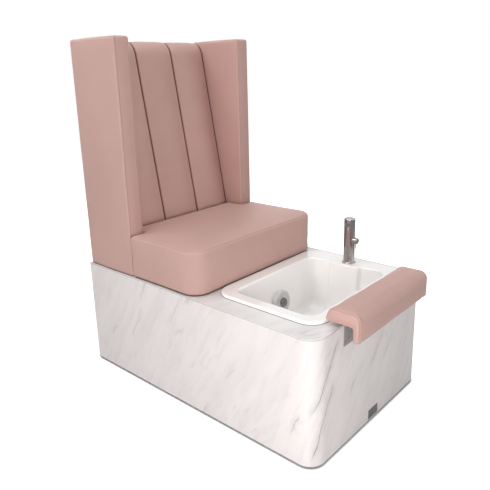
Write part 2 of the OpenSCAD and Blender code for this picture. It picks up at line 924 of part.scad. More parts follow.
module basin() {
    outer_r = floor_r + shell_t;
    color(white) difference() {
        union() {
            loft(concat([rim_ring(0, rim_bottom)], [for (a = [0 : 30 : 90])
                rim_ring(rim_edge_r * (1 - cos(a)), rim_z - rim_edge_r * (1 - sin(a)))]));
            difference() {
                loft(concat(
                    [for (b = [90 : -22.5 : 0])
                        bowl_ring(wall_lean + floor_r - outer_r * cos(b),
                            floor_z + floor_r - outer_r * sin(b))],
                    [bowl_ring(-shell_t, rim_bottom + rim_t / 2)]));
                bowl_hollow();
            }
        }
        bowl_mouth();
        at_jet(-over) cylinder(r = jet_tube_r + hole_gap, h = shell_t + 2 * over);
        at_drain(under_floor - over) cylinder(r = waste_r + hole_gap, h = shell_t + 2 * over);
        at_tap(rim_bottom - over) cylinder(r = hole_r, h = rim_t + 2 * over);
    }
}

module basin_seal() {
    color(white) translate([0, 0, deck_z]) linear_extrude(seal_t) difference() {
        polygon(flat(rim_ring(seal_in, 0)));
        polygon(flat(rim_ring(seal_in + seal_w, 0)));
    }
}

// Waste
module at_drain(z) {
    translate([drain_x, drain_y, z]) children();
}

module waste_flange() {
    tube_foot = under_floor - waste_l;
    color(chrome) at_drain(0) difference() {
        union() {
            translate([0, 0, floor_z]) cylinder(r = flange_r, h = flange_t);
            translate([0, 0, tube_foot]) cylinder(r = waste_r, h = floor_z - tube_foot + over);
        }
        difference() {
            translate([0, 0, tube_foot - over])
                cylinder(r = waste_r - waste_wall, h = floor_z + flange_t - tube_foot + 2 * over);
            translate([0, 0, under_floor - hub_h]) {
                cylinder(r = hub_r, h = hub_h);
                for (a = [0, 90]) rotate(a) translate([-waste_r, -spoke_w / 2, 0])
                    cube([2 * waste_r, spoke_w, hub_h]);
            }
        }
        translate([0, 0, under_floor - hub_h - over]) cylinder(r = stem_r + run_gap, h = hub_h + 2 * over);
    }
}

module waste_plug() {
    seat = floor_z + flange_t + rest_gap;
    stem_z = under_floor - hub_h - plug_travel;
    color(chrome) at_drain(0) {
        translate([0, 0, seat]) cylinder(r1 = plug_head_r, r2 = plug_head_r - plug_t, h = plug_t);
        translate([0, 0, seat - plug_l]) cylinder(r = plug_r, h = plug_l + plug_t / 2);
        translate([0, 0, stem_z]) cylinder(r = stem_r, h = seat - stem_z);
    }
}

module waste_nut() {
    color(white) at_drain(under_floor - waste_nut_t) nut(waste_nut_r, waste_r + hole_gap, waste_nut_t);
}

module bottle_trap() {
    bore_r = waste_r - waste_wall;
    dip_foot = trap_foot + dip_up;
    color(white) difference() {
        union() {
            at_drain(trap_foot) cylinder(r = trap_r, h = trap_h);
            at_drain(trap_top - trap_wall) cylinder(r = waste_r, h = collar_z - trap_top + 2 * trap_wall);
            at_drain(collar_z) cylinder(r = waste_r + collar_wall, h = collar_h);
            along_y(drain_x, drain_y, pipe_z) cylinder(r = outlet_r, h = trap_r + outlet_l);
        }
        difference() {
            at_drain(trap_foot + trap_wall) cylinder(r = trap_r - trap_wall, h = trap_h - 2 * trap_wall);
            at_drain(dip_foot) cylinder(r = waste_r, h = trap_top - dip_foot);
        }
        at_drain(dip_foot - over) cylinder(r = bore_r, h = collar_z + collar_h - dip_foot);
        at_drain(collar_z + collar_h - collar_lap) cylinder(r = waste_r + hole_gap, h = collar_lap + over);
        along_y(drain_x, drain_y + trap_r - 2 * trap_wall, pipe_z)
            cylinder(r = outlet_r - pipe_wall, h = outlet_l + 2 * trap_wall + over);
    }
}

module waste_pipe() {
    start = drain_y + trap_r + trap_wall;
    stop = back_y - pipe_end_in;
    color(white) along_y(drain_x, start, pipe_z) difference() {
        union() {
            cylinder(r = pipe_r, h = stop - start);
            translate([0, 0, stop - start - 2 * socket_l]) cylinder(r = socket_r, h = 2 * socket_l);
        }
        translate([0, 0, -over]) cylinder(r = pipe_r - pipe_wall, h = stop - start + 2 * over);
        translate([0, 0, stop - start - socket_l]) cylinder(r = pipe_r + socket_gap, h = socket_l + over);
    }
}

// Jet
// Children on the jet's axis, which points out of the bowl, d from the wall's inner face
module at_jet(d) {
    translate([bowl_x, jet_y, jet_z]) rotate([-90 - jet_tilt, 0, 0]) translate([0, 0, d]) children();
}

module jet_housing() {
    spindle_foot = impeller_d - over;
    color(white) {
        at_jet(-jet_flange_t) difference() {
            union() {
                cylinder(r = jet_r, h = jet_flange_t);
                cylinder(r = jet_tube_r, h = jet_back + jet_flange_t);
            }
            translate([0, 0, -over])
                cylinder(r = jet_tube_r - jet_wall, h = jet_back + jet_flange_t - membrane_t + over);
        }
        at_jet(spindle_foot) cylinder(r = spindle_r, h = jet_back - membrane_t / 2 - spindle_foot);
    }
}

module jet_nut() {
    color(white) at_jet(shell_t) nut(jet_nut_r, jet_tube_r + hole_gap, jet_nut_t);
}

module jet_motor() {
    body_r = motor_r - motor_step;
    color(black) at_jet(jet_back) {
        cylinder(r = motor_r, h = motor_plate_t);
        cylinder(r = body_r, h = motor_l - motor_step);
        cylinder(r = body_r - motor_step, h = motor_l);
    }
}

module jet_impeller() {
    color(white) at_jet(impeller_d) difference() {
        union() {
            cylinder(r = 3 * spindle_r, h = impeller_l);
            translate([0, 0, blade_l]) cylinder(r = impeller_r, h = blade_t);
            for (k = [0 : blades - 1]) rotate(360 * k / blades)
                translate([2 * spindle_r, -blade_t / 2, 0])
                    cube([impeller_r - 3 * spindle_r, blade_t, blade_l + blade_t / 2]);
        }
        translate([0, 0, -over]) cylinder(r = spindle_r + run_gap, h = impeller_l + 2 * over);
    }
}

module jet_cover() {
    ring_w = jet_r - jet_cap_r;
    slot_l = ring_w * slot_l_share;
    slot_w = 2 * PI * jet_cap_r / ribs * slot_share;
    color(clear) at_jet(cover_back - jet_cover_d) difference() {
        union() {
            cylinder(r1 = jet_r - cover_wall, r2 = jet_r, h = cover_wall);
            translate([0, 0, cover_wall]) cylinder(r = jet_r, h = jet_cover_d - cover_wall);
        }
        translate([0, 0, cover_wall]) cylinder(r = jet_r - cover_wall, h = jet_cover_d);
        translate([0, 0, -over]) cylinder(r = jet_cap_r - cover_wall, h = cover_wall + 2 * over);
        for (k = [0 : ribs - 1]) rotate(360 * k / ribs)
            translate([jet_cap_r + (ring_w - slot_l) / 2, -slot_w / 2, -over])
                cube([slot_l, slot_w, cover_wall + 2 * over]);
    }
}

module jet_cap() {
    color(chrome) at_jet(cover_back - jet_cover_d) {
        translate([0, 0, -cap_neck]) cylinder(r = jet_cap_r, h = cap_neck);
        translate([0, 0, -cap_neck - cap_dome])
            cylinder(r1 = jet_cap_r - cap_dome, r2 = jet_cap_r, h = cap_dome);
        translate([0, 0, -cap_neck / 2])
            cylinder(r = jet_cap_r - cover_wall - hole_gap, h = cap_neck / 2 + cover_wall);
    }
}

module jet_power_box() {
    color(grey) translate([-inner_x, box_y, box_z]) cube([box_t, box_l, box_h]);
}

module motor_cable() {
    reach = jet_back + motor_l;
    start = [bowl_x, jet_y + reach * cos(jet_tilt), jet_z - reach * sin(jet_tilt)];
    stop = [-inner_x + box_t / 2, box_y, box_z + box_h / 2];
    pull = (stop[1] - start[1]) * cable_pull_share;
    lead = [0, cos(jet_tilt), -sin(jet_tilt)];
    path = run(start + lead * cable_r, lead * pull, [0, pull, 0], stop - [0, cable_r, 0], 24);
    color(black) hose(concat([start], path, [stop]), cable_r);
}

module cable_gland() {
    color(black) along_y(gland_x, panel_y - gland_nut_t, gland_z) difference() {
        union() {
            cylinder(r = gland_r, h = gland_nut_t, $fn = 6);
            cylinder(r = gland_hole_r, h = gland_nut_t + panel_t);
            translate([0, 0, gland_nut_t + panel_t]) cylinder(r = gland_r, h = gland_out);
        }
        translate([0, 0, -over])
            cylinder(r = gland_bore_r, h = gland_nut_t + panel_t + gland_out + 2 * over);
    }
}

// Tap
module at_tap(z) {
    translate([tap_x, tap_y, z]) children();
}

module tap_base() {
    color(chrome) at_tap(rim_z) difference() {
        union() {
            cylinder(r = tap_r + tap_base_out, h = tap_base_h / 2);
            translate([0, 0, tap_base_h / 2])
                cylinder(r1 = tap_r + tap_base_out, r2 = tap_r, h = tap_base_h / 2);
        }
        translate([0, 0, -over]) cylinder(r = shank_r + hole_gap, h = tap_base_h + 2 * over);
    }
}

// Children on the control barrel's axis, which points out of the tap to -Y
module at_barrel(out) {
    translate([tap_x, tap_y - out, barrel_z]) rotate([90, 0, 0]) children();
}

module tap_body() {
    color(chrome) difference() {
        union() {
            at_tap(tap_foot) cylinder(r = tap_r, h = tap_split - tap_base_h);
            at_barrel(0) cylinder(r = barrel_r - lever_gap, h = tap_r + barrel_neck);
        }
        at_tap(tap_foot + tap_base_h) cylinder(r = tap_bore_r, h = tap_split);
        translate([tap_x - leg_x, tap_y + leg_y, tap_foot - over])
            cylinder(r = hose_r + hose_gap, h = tap_base_h + 2 * over);
        at_barrel(0) cylinder(r = cartridge_r + run_gap, h = tap_r + barrel_neck + over);
    }
}

module tap_shank() {
    color(chrome) at_tap(tap_foot - shank_l) tube(shank_r, shank_wall, shank_l);
}

module tap_nut() {
    color(brass) at_tap(under_deck - tap_nut_t) nut(nut_hex_r, shank_r + hole_gap, tap_nut_t);
}

module tap_cartridge() {
    foot = tap_r + barrel_neck - over - cartridge_l;
    color(white) at_barrel(foot) {
        cylinder(r = cartridge_r, h = cartridge_l);
        cylinder(r = control_r, h = barrel_foot + control_l - foot);
    }
}

module tap_barrel() {
    slot_w = 2 * (eye_r + lever_gap / 2);
    slot_in = eye_r + lever_gap;
    slot_out = (barrel_r * sin(lever_swing) + lever_r) / cos(lever_swing) + lever_gap;
    color(chrome) difference() {
        union() {
            at_barrel(barrel_foot) cylinder(r = barrel_r, h = barrel_l - barrel_dome);
            at_barrel(barrel_foot + barrel_l - barrel_dome)
                cylinder(r1 = barrel_r, r2 = barrel_r - barrel_dome, h = barrel_dome);
        }
        at_barrel(barrel_foot - over) cylinder(r = control_r + run_gap, h = control_l + over + hole_gap);
        block([tap_x - slot_w / 2, tap_y - lever_out - slot_out, barrel_z - barrel_r - over],
            [tap_x + slot_w / 2, tap_y - lever_out + slot_in, barrel_z + slot_in]);
        translate([tap_x - lever_pin_l / 2 - over, tap_y - lever_out, barrel_z]) rotate([0, 90, 0])
            cylinder(r = lever_pin_r + run_gap, h = lever_pin_l + 2 * over);
    }
}

module tap_lever() {
    color(chrome) translate([tap_x, tap_y - lever_out, barrel_z]) {
        rotate([0, 90, 0]) {
            cylinder(r = eye_r, h = 2 * eye_r, center = true);
            cylinder(r = lever_pin_r, h = lever_pin_l, center = true);
        }
        translate([0, 0, -lever_l]) cylinder(r = lever_r, h = lever_l);
        translate([0, 0, -lever_l]) sphere(lever_r);
    }
}

module handset() {
    straight = handset_top - handset_foot - cap_r;
    color(chrome) difference() {
        union() {
            at_tap(handset_foot) rotate_extrude() {
                square([tap_r, straight]);
                translate([0, straight]) square([tap_r - cap_r, cap_r]);
                translate([tap_r - cap_r, straight]) intersection() {
                    circle(cap_r);
                    square(cap_r);
                }
            }
            at_tap(stem_foot) cylinder(r = tap_bore_r - run_gap, h = dock_l + over);
        }
        at_tap(stem_foot + hose_grip)
            cylinder(r = handset_bore_r, h = handset_top - cap_r - stem_foot - 2 * hose_grip);
        translate([tap_x - leg_x, tap_y + leg_y, stem_foot - over])
            cylinder(r = hose_r + hole_gap, h = hose_grip + 2 * over);
        at_tap(handset_top - spray_down) rotate([0, -90, 0]) {
            translate([0, 0, tap_r - 2 * spray_t]) cylinder(r = spray_r, h = 3 * spray_t);
            cylinder(r = spray_r / 2, h = tap_r);
        }
    }
}

module spray_face() {
    color(grey) at_tap(handset_top - spray_down) rotate([0, -90, 0]) translate([0, 0, tap_r - 2 * spray_t])
        difference() {
            cylinder(r = spray_r - hole_gap, h = spray_t);
            for (k = [0 : spray_holes - 1]) rotate(360 * k / spray_holes)
                translate([spray_r * spray_share, 0, spray_t / 2]) cylinder(r = spray_hole_r, h = spray_t);
        }
}

// The leg of the pull-out hose that follows the handset
module handset_hose() {
    color(steel) translate([tap_x - leg_x, tap_y + leg_y, hose_low_z])
        cylinder(r = hose_r, h = stem_foot + hose_grip - hose_low_z);
}

// The rest of the pull-out hose: a loop under the tap and the leg back up to it
module hose_loop() {
    left = [tap_x - leg_x, tap_y + leg_y, hose_low_z - rest_gap];
    right = left + [2 * leg_x, 0, 0];
    low = [tap_x, tap_y + leg_y, loop_low_z];
    down = [0, 0, -hose_r];
    path = concat([left],
        run(left + down, [0, 0, -loop_drop], [loop_wide, 0, 0], low, 10),
        [for (k = [1 : 10]) run(low, [loop_wide, 0, 0], [0, 0, loop_drop], right + down, 10)[k]],
        [[right[0], right[1], tap_foot]]);
    color(steel) hose(path, hose_r);
}

module supply_hoses() {
    top = tap_foot - shank_l;
    color(steel) for (k = [0, 1]) {
        start = [tap_x + (2 * k - 1) * tail_x, tap_y + tail_y, top];
        stop = [supply_x[k], panel_y - rail_w - nipple_l, valve_z];
        path = run(start, [0, 0, -hose_fall], [0, hose_lead, 0], stop - [0, tail_r, 0], 40);
        hose(concat([start + [0, 0, shank_l]], path, [stop]), tail_r);
    }
}

module stop_valves() {
    color(chrome) for (x = supply_x) {
        along_y(x, panel_y - rail_w - nipple_l, valve_z) difference() {
            union() {
                cylinder(r = nipple_r, h = nipple_l + over);
                translate([0, 0, nipple_l]) cylinder(r = valve_r, h = rail_w);
                translate([0, 0, nipple_l + rail_w - over]) cylinder(r = stub_r, h = stub_l + over);
            }
            translate([0, 0, nipple_l + rail_w]) cylinder(r = stub_bore_r, h = stub_l + over);
        }
        translate([x, panel_y - rail_w / 2, valve_z]) {
            cylinder(r = knob_r / 2, h = valve_r + knob_up);
            translate([0, 0, valve_r + knob_up]) cylinder(r = knob_r, h = knob_t);
        }
    }
}

// Footrest
// Its L-shaped profile as places in Y and Z, drawn in by an inset
function rest_profile(inset) =
    let (lean = rest_lean * inset / rest_t, out_r = max(rest_edge_r - inset, least_r),
         top_r = rest_top_r - inset, y0 = rest_front + inset, y1 = board_front - inset,
         y2 = rest_rear - inset - lean, y3 = rest_rear - rest_lean - inset + lean,
         z0 = rest_z - flap_drop + inset, z1 = rest_z + inset, z2 = rest_top - inset)
    outline([[y0, z0], [y1, z0], [y1, z1], [y2, z1], [y3, z2], [(y0 + y3) / 2, z2 + rest_crown], [y0, z2]],
        [out_r, out_r, rest_edge_r, out_r, top_r, 0, top_r], 0, 0, 4);

module footrest_pad() {
    half = rest_l / 2;
    ends = concat(
        [for (a = [0 : 30 : 90]) [half - rest_edge_r * (1 - cos(a)), rest_edge_r * (1 - sin(a))]],
        [[half / 3, 0]]);
    color(pink) difference() {
        loft(concat(
            [for (e = ends) [for (p = rest_profile(e[1])) [-e[0], p[0], p[1]]]],
            [for (k = [len(ends) - 1 : -1 : 0])
                [for (p = rest_profile(ends[k][1])) [ends[k][0], p[0], p[1]]]]));
        block([rest_board_in - half - soft_gap, board_front - soft_gap, rest_z - over],
            [half - rest_board_in + soft_gap, board_rear + soft_gap, rest_z + rest_board_t + soft_gap]);
    }
}

module footrest_board() {
    half = rest_l / 2 - rest_board_in;
    color(ply) difference() {
        block([-half, board_front, rest_z], [half, board_rear, rest_z + rest_board_t]);
        for (p = stud_places) translate([p[0], p[1], rest_z - over])
            cylinder(r = stud_r + run_gap, h = stud_h + over);
    }
}

module footrest_brackets() {
    color(grey) difference() {
        both_sides() {
            block([bracket_far - bracket_w, front_y - bracket_t, bracket_top - bracket_h],
                [bracket_far, front_y, bracket_top]);
            block([bracket_far - bracket_w, front_y - bracket_reach, bracket_top - bracket_t],
                [bracket_far, front_y, bracket_top]);
            translate([bracket_mid, front_y - bracket_reach / 2, bracket_top - bracket_t])
                cylinder(r = stud_r, h = stud_h + bracket_t - 2 * rest_gap);
        }
        bracket_screw_holes(0);
    }
}

module bracket_screws() {
    color(steel) for (s = [-1, 1], t = bracket_shares)
        along_y(s * bracket_mid, front_y - bracket_t - bracket_head_t, bracket_top - bracket_h * (1 - t)) {
            cylinder(r = bracket_head_r, h = bracket_head_t);
            cylinder(r = bracket_hole_r, h = bracket_head_t + bracket_t + bracket_screw_l - over);
        }
}

module footrest_bumpers() {
    color(black) for (s = [-1, 1])
        translate([s * bracket_mid, board_rear - bumper_r - bumper_in, deck_z + rest_gap])
            cylinder(r = bumper_r, h = rest_z - deck_z - rest_gap);
}

plinth_wrap();
deck();
rear_panel();
rear_panel_screws();
base_rails();
base_cross_rails();
posts();
top_rails();
deck_bearers();
glides();
front_plate();
seat_board();
seat_cushion();
back_frame();
slant_board();
back_pad_left();
back_pad_centre();
back_pad_right();
rear_cover();
wing_core_left();
wing_cover_left();
wing_core_right();
wing_cover_right();
wing_bolts();
basin();
basin_seal();
waste_flange();
waste_plug();
waste_nut();
bottle_trap();
waste_pipe();
jet_housing();
jet_nut();
jet_motor();
jet_impeller();
jet_cover();
jet_cap();
jet_power_box();
motor_cable();
cable_gland();
tap_base();
tap_body();
tap_shank();
tap_nut();
tap_cartridge();
tap_barrel();
tap_lever();
handset();
spray_face();
handset_hose();
hose_loop();
supply_hoses();
stop_valves();
footrest_board();
footrest_pad();
footrest_brackets();
bracket_screws();
footrest_bumpers();
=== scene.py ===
"""Looks of a pedicure chair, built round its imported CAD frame."""
import math

import bmesh
import bpy
import numpy as np
from mathutils import Matrix, Vector
from mathutils.kdtree import KDTree


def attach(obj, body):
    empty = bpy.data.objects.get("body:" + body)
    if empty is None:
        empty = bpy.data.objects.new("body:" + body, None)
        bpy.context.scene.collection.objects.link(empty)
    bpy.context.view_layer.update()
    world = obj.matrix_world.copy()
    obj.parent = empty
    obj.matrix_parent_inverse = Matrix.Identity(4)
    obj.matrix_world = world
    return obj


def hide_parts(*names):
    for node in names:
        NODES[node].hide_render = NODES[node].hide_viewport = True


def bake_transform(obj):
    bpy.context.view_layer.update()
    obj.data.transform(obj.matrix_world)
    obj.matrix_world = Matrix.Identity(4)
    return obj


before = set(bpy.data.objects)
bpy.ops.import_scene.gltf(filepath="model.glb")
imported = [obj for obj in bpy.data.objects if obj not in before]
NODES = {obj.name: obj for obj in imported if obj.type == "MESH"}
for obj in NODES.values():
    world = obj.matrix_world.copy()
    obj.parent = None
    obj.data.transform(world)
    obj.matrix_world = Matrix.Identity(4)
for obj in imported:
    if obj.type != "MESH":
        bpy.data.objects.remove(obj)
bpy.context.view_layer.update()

MM = 0.001

# Camera, as fitted to the photograph
IMAGE_SIZE = 490
FOCAL_PIXELS = 545.92
CENTRE_PIXELS = (238.8, 219.07)
CAMERA_AT = Vector((-1.6308, -1.4056, 1.2750))
CAMERA_YAW = math.radians(-47.663)
CAMERA_PITCH = math.radians(15.235)
CAMERA_ROLL = math.radians(-1.644)
SENSOR = 36.0
FARTHEST_SEEN = 100.0


def make_camera():
    yaw, pitch = CAMERA_YAW, CAMERA_PITCH
    back = Vector((math.sin(yaw) * math.cos(pitch), -math.cos(yaw) * math.cos(pitch), math.sin(pitch)))
    right = Vector((math.cos(yaw), math.sin(yaw), 0.0))
    up = back.cross(right)
    c, s = math.cos(CAMERA_ROLL), math.sin(CAMERA_ROLL)
    right, up = right * c + up * s, up * c - right * s
    camera = bpy.data.objects.new("camera", bpy.data.cameras.new("camera"))
    bpy.context.scene.collection.objects.link(camera)
    turn = Matrix((right, up, back)).transposed().to_4x4()
    camera.matrix_world = Matrix.Translation(CAMERA_AT) @ turn
    camera.data.sensor_width = SENSOR
    camera.data.lens = FOCAL_PIXELS / IMAGE_SIZE * SENSOR
    camera.data.shift_x = (IMAGE_SIZE / 2 - CENTRE_PIXELS[0]) / IMAGE_SIZE
    camera.data.shift_y = (CENTRE_PIXELS[1] - IMAGE_SIZE / 2) / IMAGE_SIZE
    camera.data.clip_end = FARTHEST_SEEN
    camera.data.dof.use_dof = False
    bpy.context.scene.camera = camera


make_camera()


# Mesh code

# A distance from a seam that counts as no seam near
NO_SEAM = 1.0
SPACING_STEPS = 4001
MERGE = 1e-6
TINY = 1e-12


def norm(v):
    """The direction of v."""
    return v / np.linalg.norm(v)


def corner(a, b, c, radius, steps):
    """Points of the arc that rounds the corner at b, between its neighbours a and c."""
    u, v = norm(a - b), norm(c - b)
    half = math.acos(float(np.clip(u @ v, -1, 1))) / 2
    reach = radius / math.tan(half)
    middle = b + norm(u + v) * radius / math.sin(half)
    first, last = b + u * reach - middle, b + v * reach - middle
    start = math.atan2(first[1], first[0])
    sweep = (math.atan2(last[1], last[0]) - start + math.pi) % (2 * math.pi) - math.pi
    angles = start + sweep * np.linspace(0, 1, steps + 1)
    return middle + radius * np.stack((np.cos(angles), np.sin(angles)), 1)


def rounded(points, radii, sides, draw=0.0, arc=8):
    """Closed outline with rounded corners.

    sides gives each straight side's points, as a count or as shares; draw is how far the sides bow inwards.
    """
    points = [np.array(p, float) for p in points]
    n = len(points)
    arcs = [corner(points[i - 1], points[i], points[(i + 1) % n], radii[i], arc) for i in range(n)]
    out = []
    for i in range(n):
        a, b = arcs[i][-1], arcs[(i + 1) % n][0]
        along = norm(points[(i + 1) % n] - points[i])
        inward = np.array((-along[1], along[0]))
        t = np.linspace(0, 1, sides[i] + 2)[1:-1] if isinstance(sides[i], int) else np.asarray(sides[i])
        t = t[:, None]
        out += [arcs[i], a + (b - a) * t + inward * draw * (1 - np.cos(2 * math.pi * t)) / 2]
    return np.concatenate(out)


def path(points, radii, steps=10):
    """Open line through points, rounded at each inner one."""
    points = [np.array(p, float) for p in points]
    out = [points[0][None]]
    for i in range(1, len(points) - 1):
        if radii[i - 1] > 0:
            out.append(corner(points[i - 1], points[i], points[i + 1], radii[i - 1], steps))
        else:
            out.append(points[i][None])
    return np.concatenate(out + [points[-1][None]])


def reaches(line):
    """Length along a line up to each of its points."""
    return np.concatenate(([0.0], np.cumsum(np.linalg.norm(np.diff(line, axis=0), axis=1))))


def spaced(length, seams=(), fine=0.9 * MM, coarse=8 * MM, growth=0.25):
    """Places from 0 to length, close together near each seam."""
    s = np.linspace(0, length, SPACING_STEPS)
    away = np.min([np.abs(s - at) for at in seams], axis=0) if len(seams) else np.full(len(s), NO_SEAM)
    density = 1 / np.clip(fine + growth * away, fine, coarse)
    count = np.concatenate(([0], np.cumsum((density[1:] + density[:-1]) / 2 * np.diff(s))))
    n = max(2, math.ceil(count[-1]))
    return np.interp(np.linspace(0, count[-1], n + 1), count, s)


def steps(count):
    """Even shares after 0, up to 1."""
    return np.linspace(0, 1, count + 1)[1:]


def quarter(count):
    """Even turns after upright, down to level."""
    return np.linspace(math.pi / 2, 0, count + 1)[1:]


def at_reach(line, s):
    """Points of a line at lengths s along it."""
    reach = reaches(line)
    return np.stack([np.interp(s, reach, line[:, k]) for k in range(line.shape[1])], 1)


def level(ring, z):
    """A ring of places in X and Y, laid level at z."""
    return np.column_stack((ring, np.full(len(ring), z)))


def across(ring, x):
    """A ring of places in Y and Z, stood up at x."""
    return np.column_stack((np.full(len(ring), x), ring))


def skin(rows, closed=False):
    """Vertices and quads of a skin through rings of points."""
    n = len(rows[0])
    faces = []
    total = len(rows) * n
    for k in range(len(rows) - (0 if closed else 1)):
        for i in range(n):
            a, b = k * n + i, k * n + (i + 1) % n
            faces.append((a, b, (b + n) % total, (a + n) % total))
    return np.concatenate(rows), faces


def rings_towards(ring, spine, shares, lift=lambda share: 0.0):
    """Rings that close up from ring towards spine, which has as many points, lifted by lift(share)."""
    return [ring + (spine - ring) * share + np.array((0, 0, lift(share))) for share in shares]


def raw_mesh(name, verts, faces):
    mesh = bpy.data.meshes.new(name)
    mesh.from_pydata([tuple(v) for v in verts], [], [tuple(f) for f in faces])
    mesh.update()
    return mesh


def place(name, mesh, material, body, slot=None):
    """A smooth piece of one material, on its body; slot is not used."""
    piece = bpy.data.objects.new(name, mesh)
    bpy.context.scene.collection.objects.link(piece)
    mesh.materials.clear()
    mesh.materials.append(material)
    mesh.polygons.foreach_set("use_smooth", [True] * len(mesh.polygons))
    if body:
        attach(piece, body)
    return piece


def tidy_mesh(mesh, merge=MERGE):
    work = bmesh.new()
    work.from_mesh(mesh)
    bmesh.ops.remove_doubles(work, verts=work.verts, dist=merge)
    bmesh.ops.dissolve_degenerate(work, edges=work.edges, dist=merge)
    bmesh.ops.recalc_face_normals(work, faces=work.faces)
    work.to_mesh(mesh)
    work.free()


def vertex_normals(verts, faces):
    """Mean normals of quads at each vertex."""
    quads = np.array(faces)
    a, b, c, d = [verts[quads[:, k]] for k in range(4)]
    flat = np.cross(c - a, d - b)
    out = np.zeros_like(verts)
    for k in range(4):
        np.add.at(out, quads[:, k], flat)
    return out / np.maximum(np.linalg.norm(out, axis=1), TINY)[:, None]


def tree_of(points):
    """Points ready for a search of the nearest."""
    tree = KDTree(len(points))
    for i, point in enumerate(points):
        tree.insert(point, i)
    tree.balance()
    return tree


# Cloth

CLOTH_FRAMES = 20
# Points of the cloth that each point of the cover follows, and how evenly it follows them
NEAREST, NEAREST_REACH_SHARE = 10, 0.4
STILL = 1e-9


def coordinates(mesh):
    out = np.empty(len(mesh.vertices) * 3)
    mesh.vertices.foreach_get("co", out)
    return out.reshape(-1, 3)


def swell(verts, faces, held, limit, voxel, pressure, spare):
    """How far a cloth cover moves as the padding under it pushes out, as one vector for each vertex.

    held gives how firmly each vertex is sewn or stapled down, from 0 to 1.
    """
    scene = bpy.context.scene
    cloth = bpy.data.objects.new("cloth", raw_mesh("cloth", verts, faces))
    scene.collection.objects.link(cloth)
    tidy_mesh(cloth.data)
    blocks = cloth.modifiers.new("blocks", "REMESH")
    blocks.mode = "VOXEL"
    blocks.voxel_size = voxel
    graph = bpy.context.evaluated_depsgraph_get()
    even = bpy.data.meshes.new_from_object(cloth.evaluated_get(graph))
    cloth.modifiers.clear()
    cloth.data = even
    start = coordinates(even)
    fine = tree_of(verts)
    group = cloth.vertex_groups.new(name="held")
    for i, point in enumerate(start):
        group.add([i], float(held[fine.find(point)[1]]), "REPLACE")
    sim = cloth.modifiers.new("cloth", "CLOTH")
    settings = sim.settings
    settings.quality = 4
    settings.mass = 0.3
    settings.tension_stiffness = 25
    settings.compression_stiffness = 25
    settings.shear_stiffness = 10
    settings.bending_stiffness = 1.5
    settings.shrink_min = -spare
    settings.use_pressure = True
    settings.uniform_pressure_force = pressure
    settings.vertex_group_mass = "held"
    settings.pin_stiffness = 2.0
    settings.effector_weights.gravity = 0
    sim.collision_settings.use_collision = False
    sim.point_cache.frame_start = 1
    sim.point_cache.frame_end = CLOTH_FRAMES
    for step in range(1, CLOTH_FRAMES + 1):
        scene.frame_set(step)
    moved = coordinates(cloth.evaluated_get(bpy.context.evaluated_depsgraph_get()).data) - start
    far = np.linalg.norm(moved, axis=1)
    print("cloth", len(start), "points, moved up to %.1f mm" % (far.max() / MM))
    moved *= (limit * np.tanh(far / limit) / np.maximum(far, STILL))[:, None]
    scene.frame_set(1)
    bpy.data.objects.remove(cloth)
    bpy.data.meshes.remove(even)
    coarse = tree_of(start)
    out = np.zeros_like(verts)
    for i, vert in enumerate(verts):
        near = coarse.find_n(vert, NEAREST)
        weights = np.array([1 / (away + NEAREST_REACH_SHARE * voxel) ** 2 for _, _, away in near])
        out[i] = weights @ moved[[j for _, j, _ in near]] / weights.sum()
    return out


# Sewing: the dip of a seam, the roll beside it, its small puckers, and the slack of the whole cover

SEAM_DEPTH, SEAM_WIDTH = 1.1 * MM, 1.3 * MM
ROLL_PLACE_SHARE, ROLL_WIDTH_SHARE, ROLL_HEIGHT_SHARE = 2.6, 1.4, 0.22
PUCKER_DEPTH, PUCKER_WAVE, PUCKER_REACH = 0.16 * MM, 14 * MM, 7 * MM
SLACK_DEPTH, SLACK_WAVE = 0.22 * MM, 110 * MM
# How far from a seam the painted shade along it reaches
SEAM_SHADE_REACH = 2.2 * MM


def ease(x):
    """A smooth step from 0 to 1."""
    x = np.clip(x, 0, 1)
    return x * x * (3 - 2 * x)


def fade(distance, reach):
    """1 at a seam, falling to nothing past reach."""
    return np.exp(-(distance / reach) ** 2)


def seam_dip(distance, depth=SEAM_DEPTH):
    """How far leather is pulled in at a distance from a seam, with the slight roll beside it."""
    roll = fade(distance - ROLL_PLACE_SHARE * SEAM_WIDTH, ROLL_WIDTH_SHARE * SEAM_WIDTH)
    return depth * fade(distance, SEAM_WIDTH) - ROLL_HEIGHT_SHARE * depth * roll


def ripple(points, wave, seed=0.0):
    """A soft uneven number from -1 to 1 for each point, from waves whose lengths don't match."""
    p = points / wave * 2 * math.pi
    return (np.sin(p[:, 0] + 1.7 * np.sin(0.61 * p[:, 1] + seed) + seed)
            + np.sin(0.83 * p[:, 1] + 1.3 * np.sin(0.47 * p[:, 2] + 2.1 * seed))
            + np.sin(0.71 * p[:, 2] + 1.9 * np.sin(0.53 * p[:, 0] + 0.7 * seed))) / 3


def sewn_skin(rows, distance, held, seed, limit, voxel, pressure=4.0, spare=4 * MM, dip=SEAM_DEPTH, caps=()):
    """Vertices, quads and normals of a sewn cover: the swollen skin, pulled in along its seams.

    distance gives each vertex's distance from the nearest seam, and held how firmly it is fixed. limit is
    the most that the padding pushes out, and voxel the size of the cloth's own faces.
    """
    verts, faces = skin(rows)
    verts = verts + swell(verts, [*faces, *caps], held, limit, voxel, pressure, spare)
    normals = vertex_normals(verts, faces)
    pucker = PUCKER_DEPTH * fade(distance, PUCKER_REACH) * ripple(verts, PUCKER_WAVE, seed)
    pull = seam_dip(distance, dip) + pucker + SLACK_DEPTH * ripple(verts, SLACK_WAVE, seed + 3)
    return verts - normals * pull[:, None], faces, normals


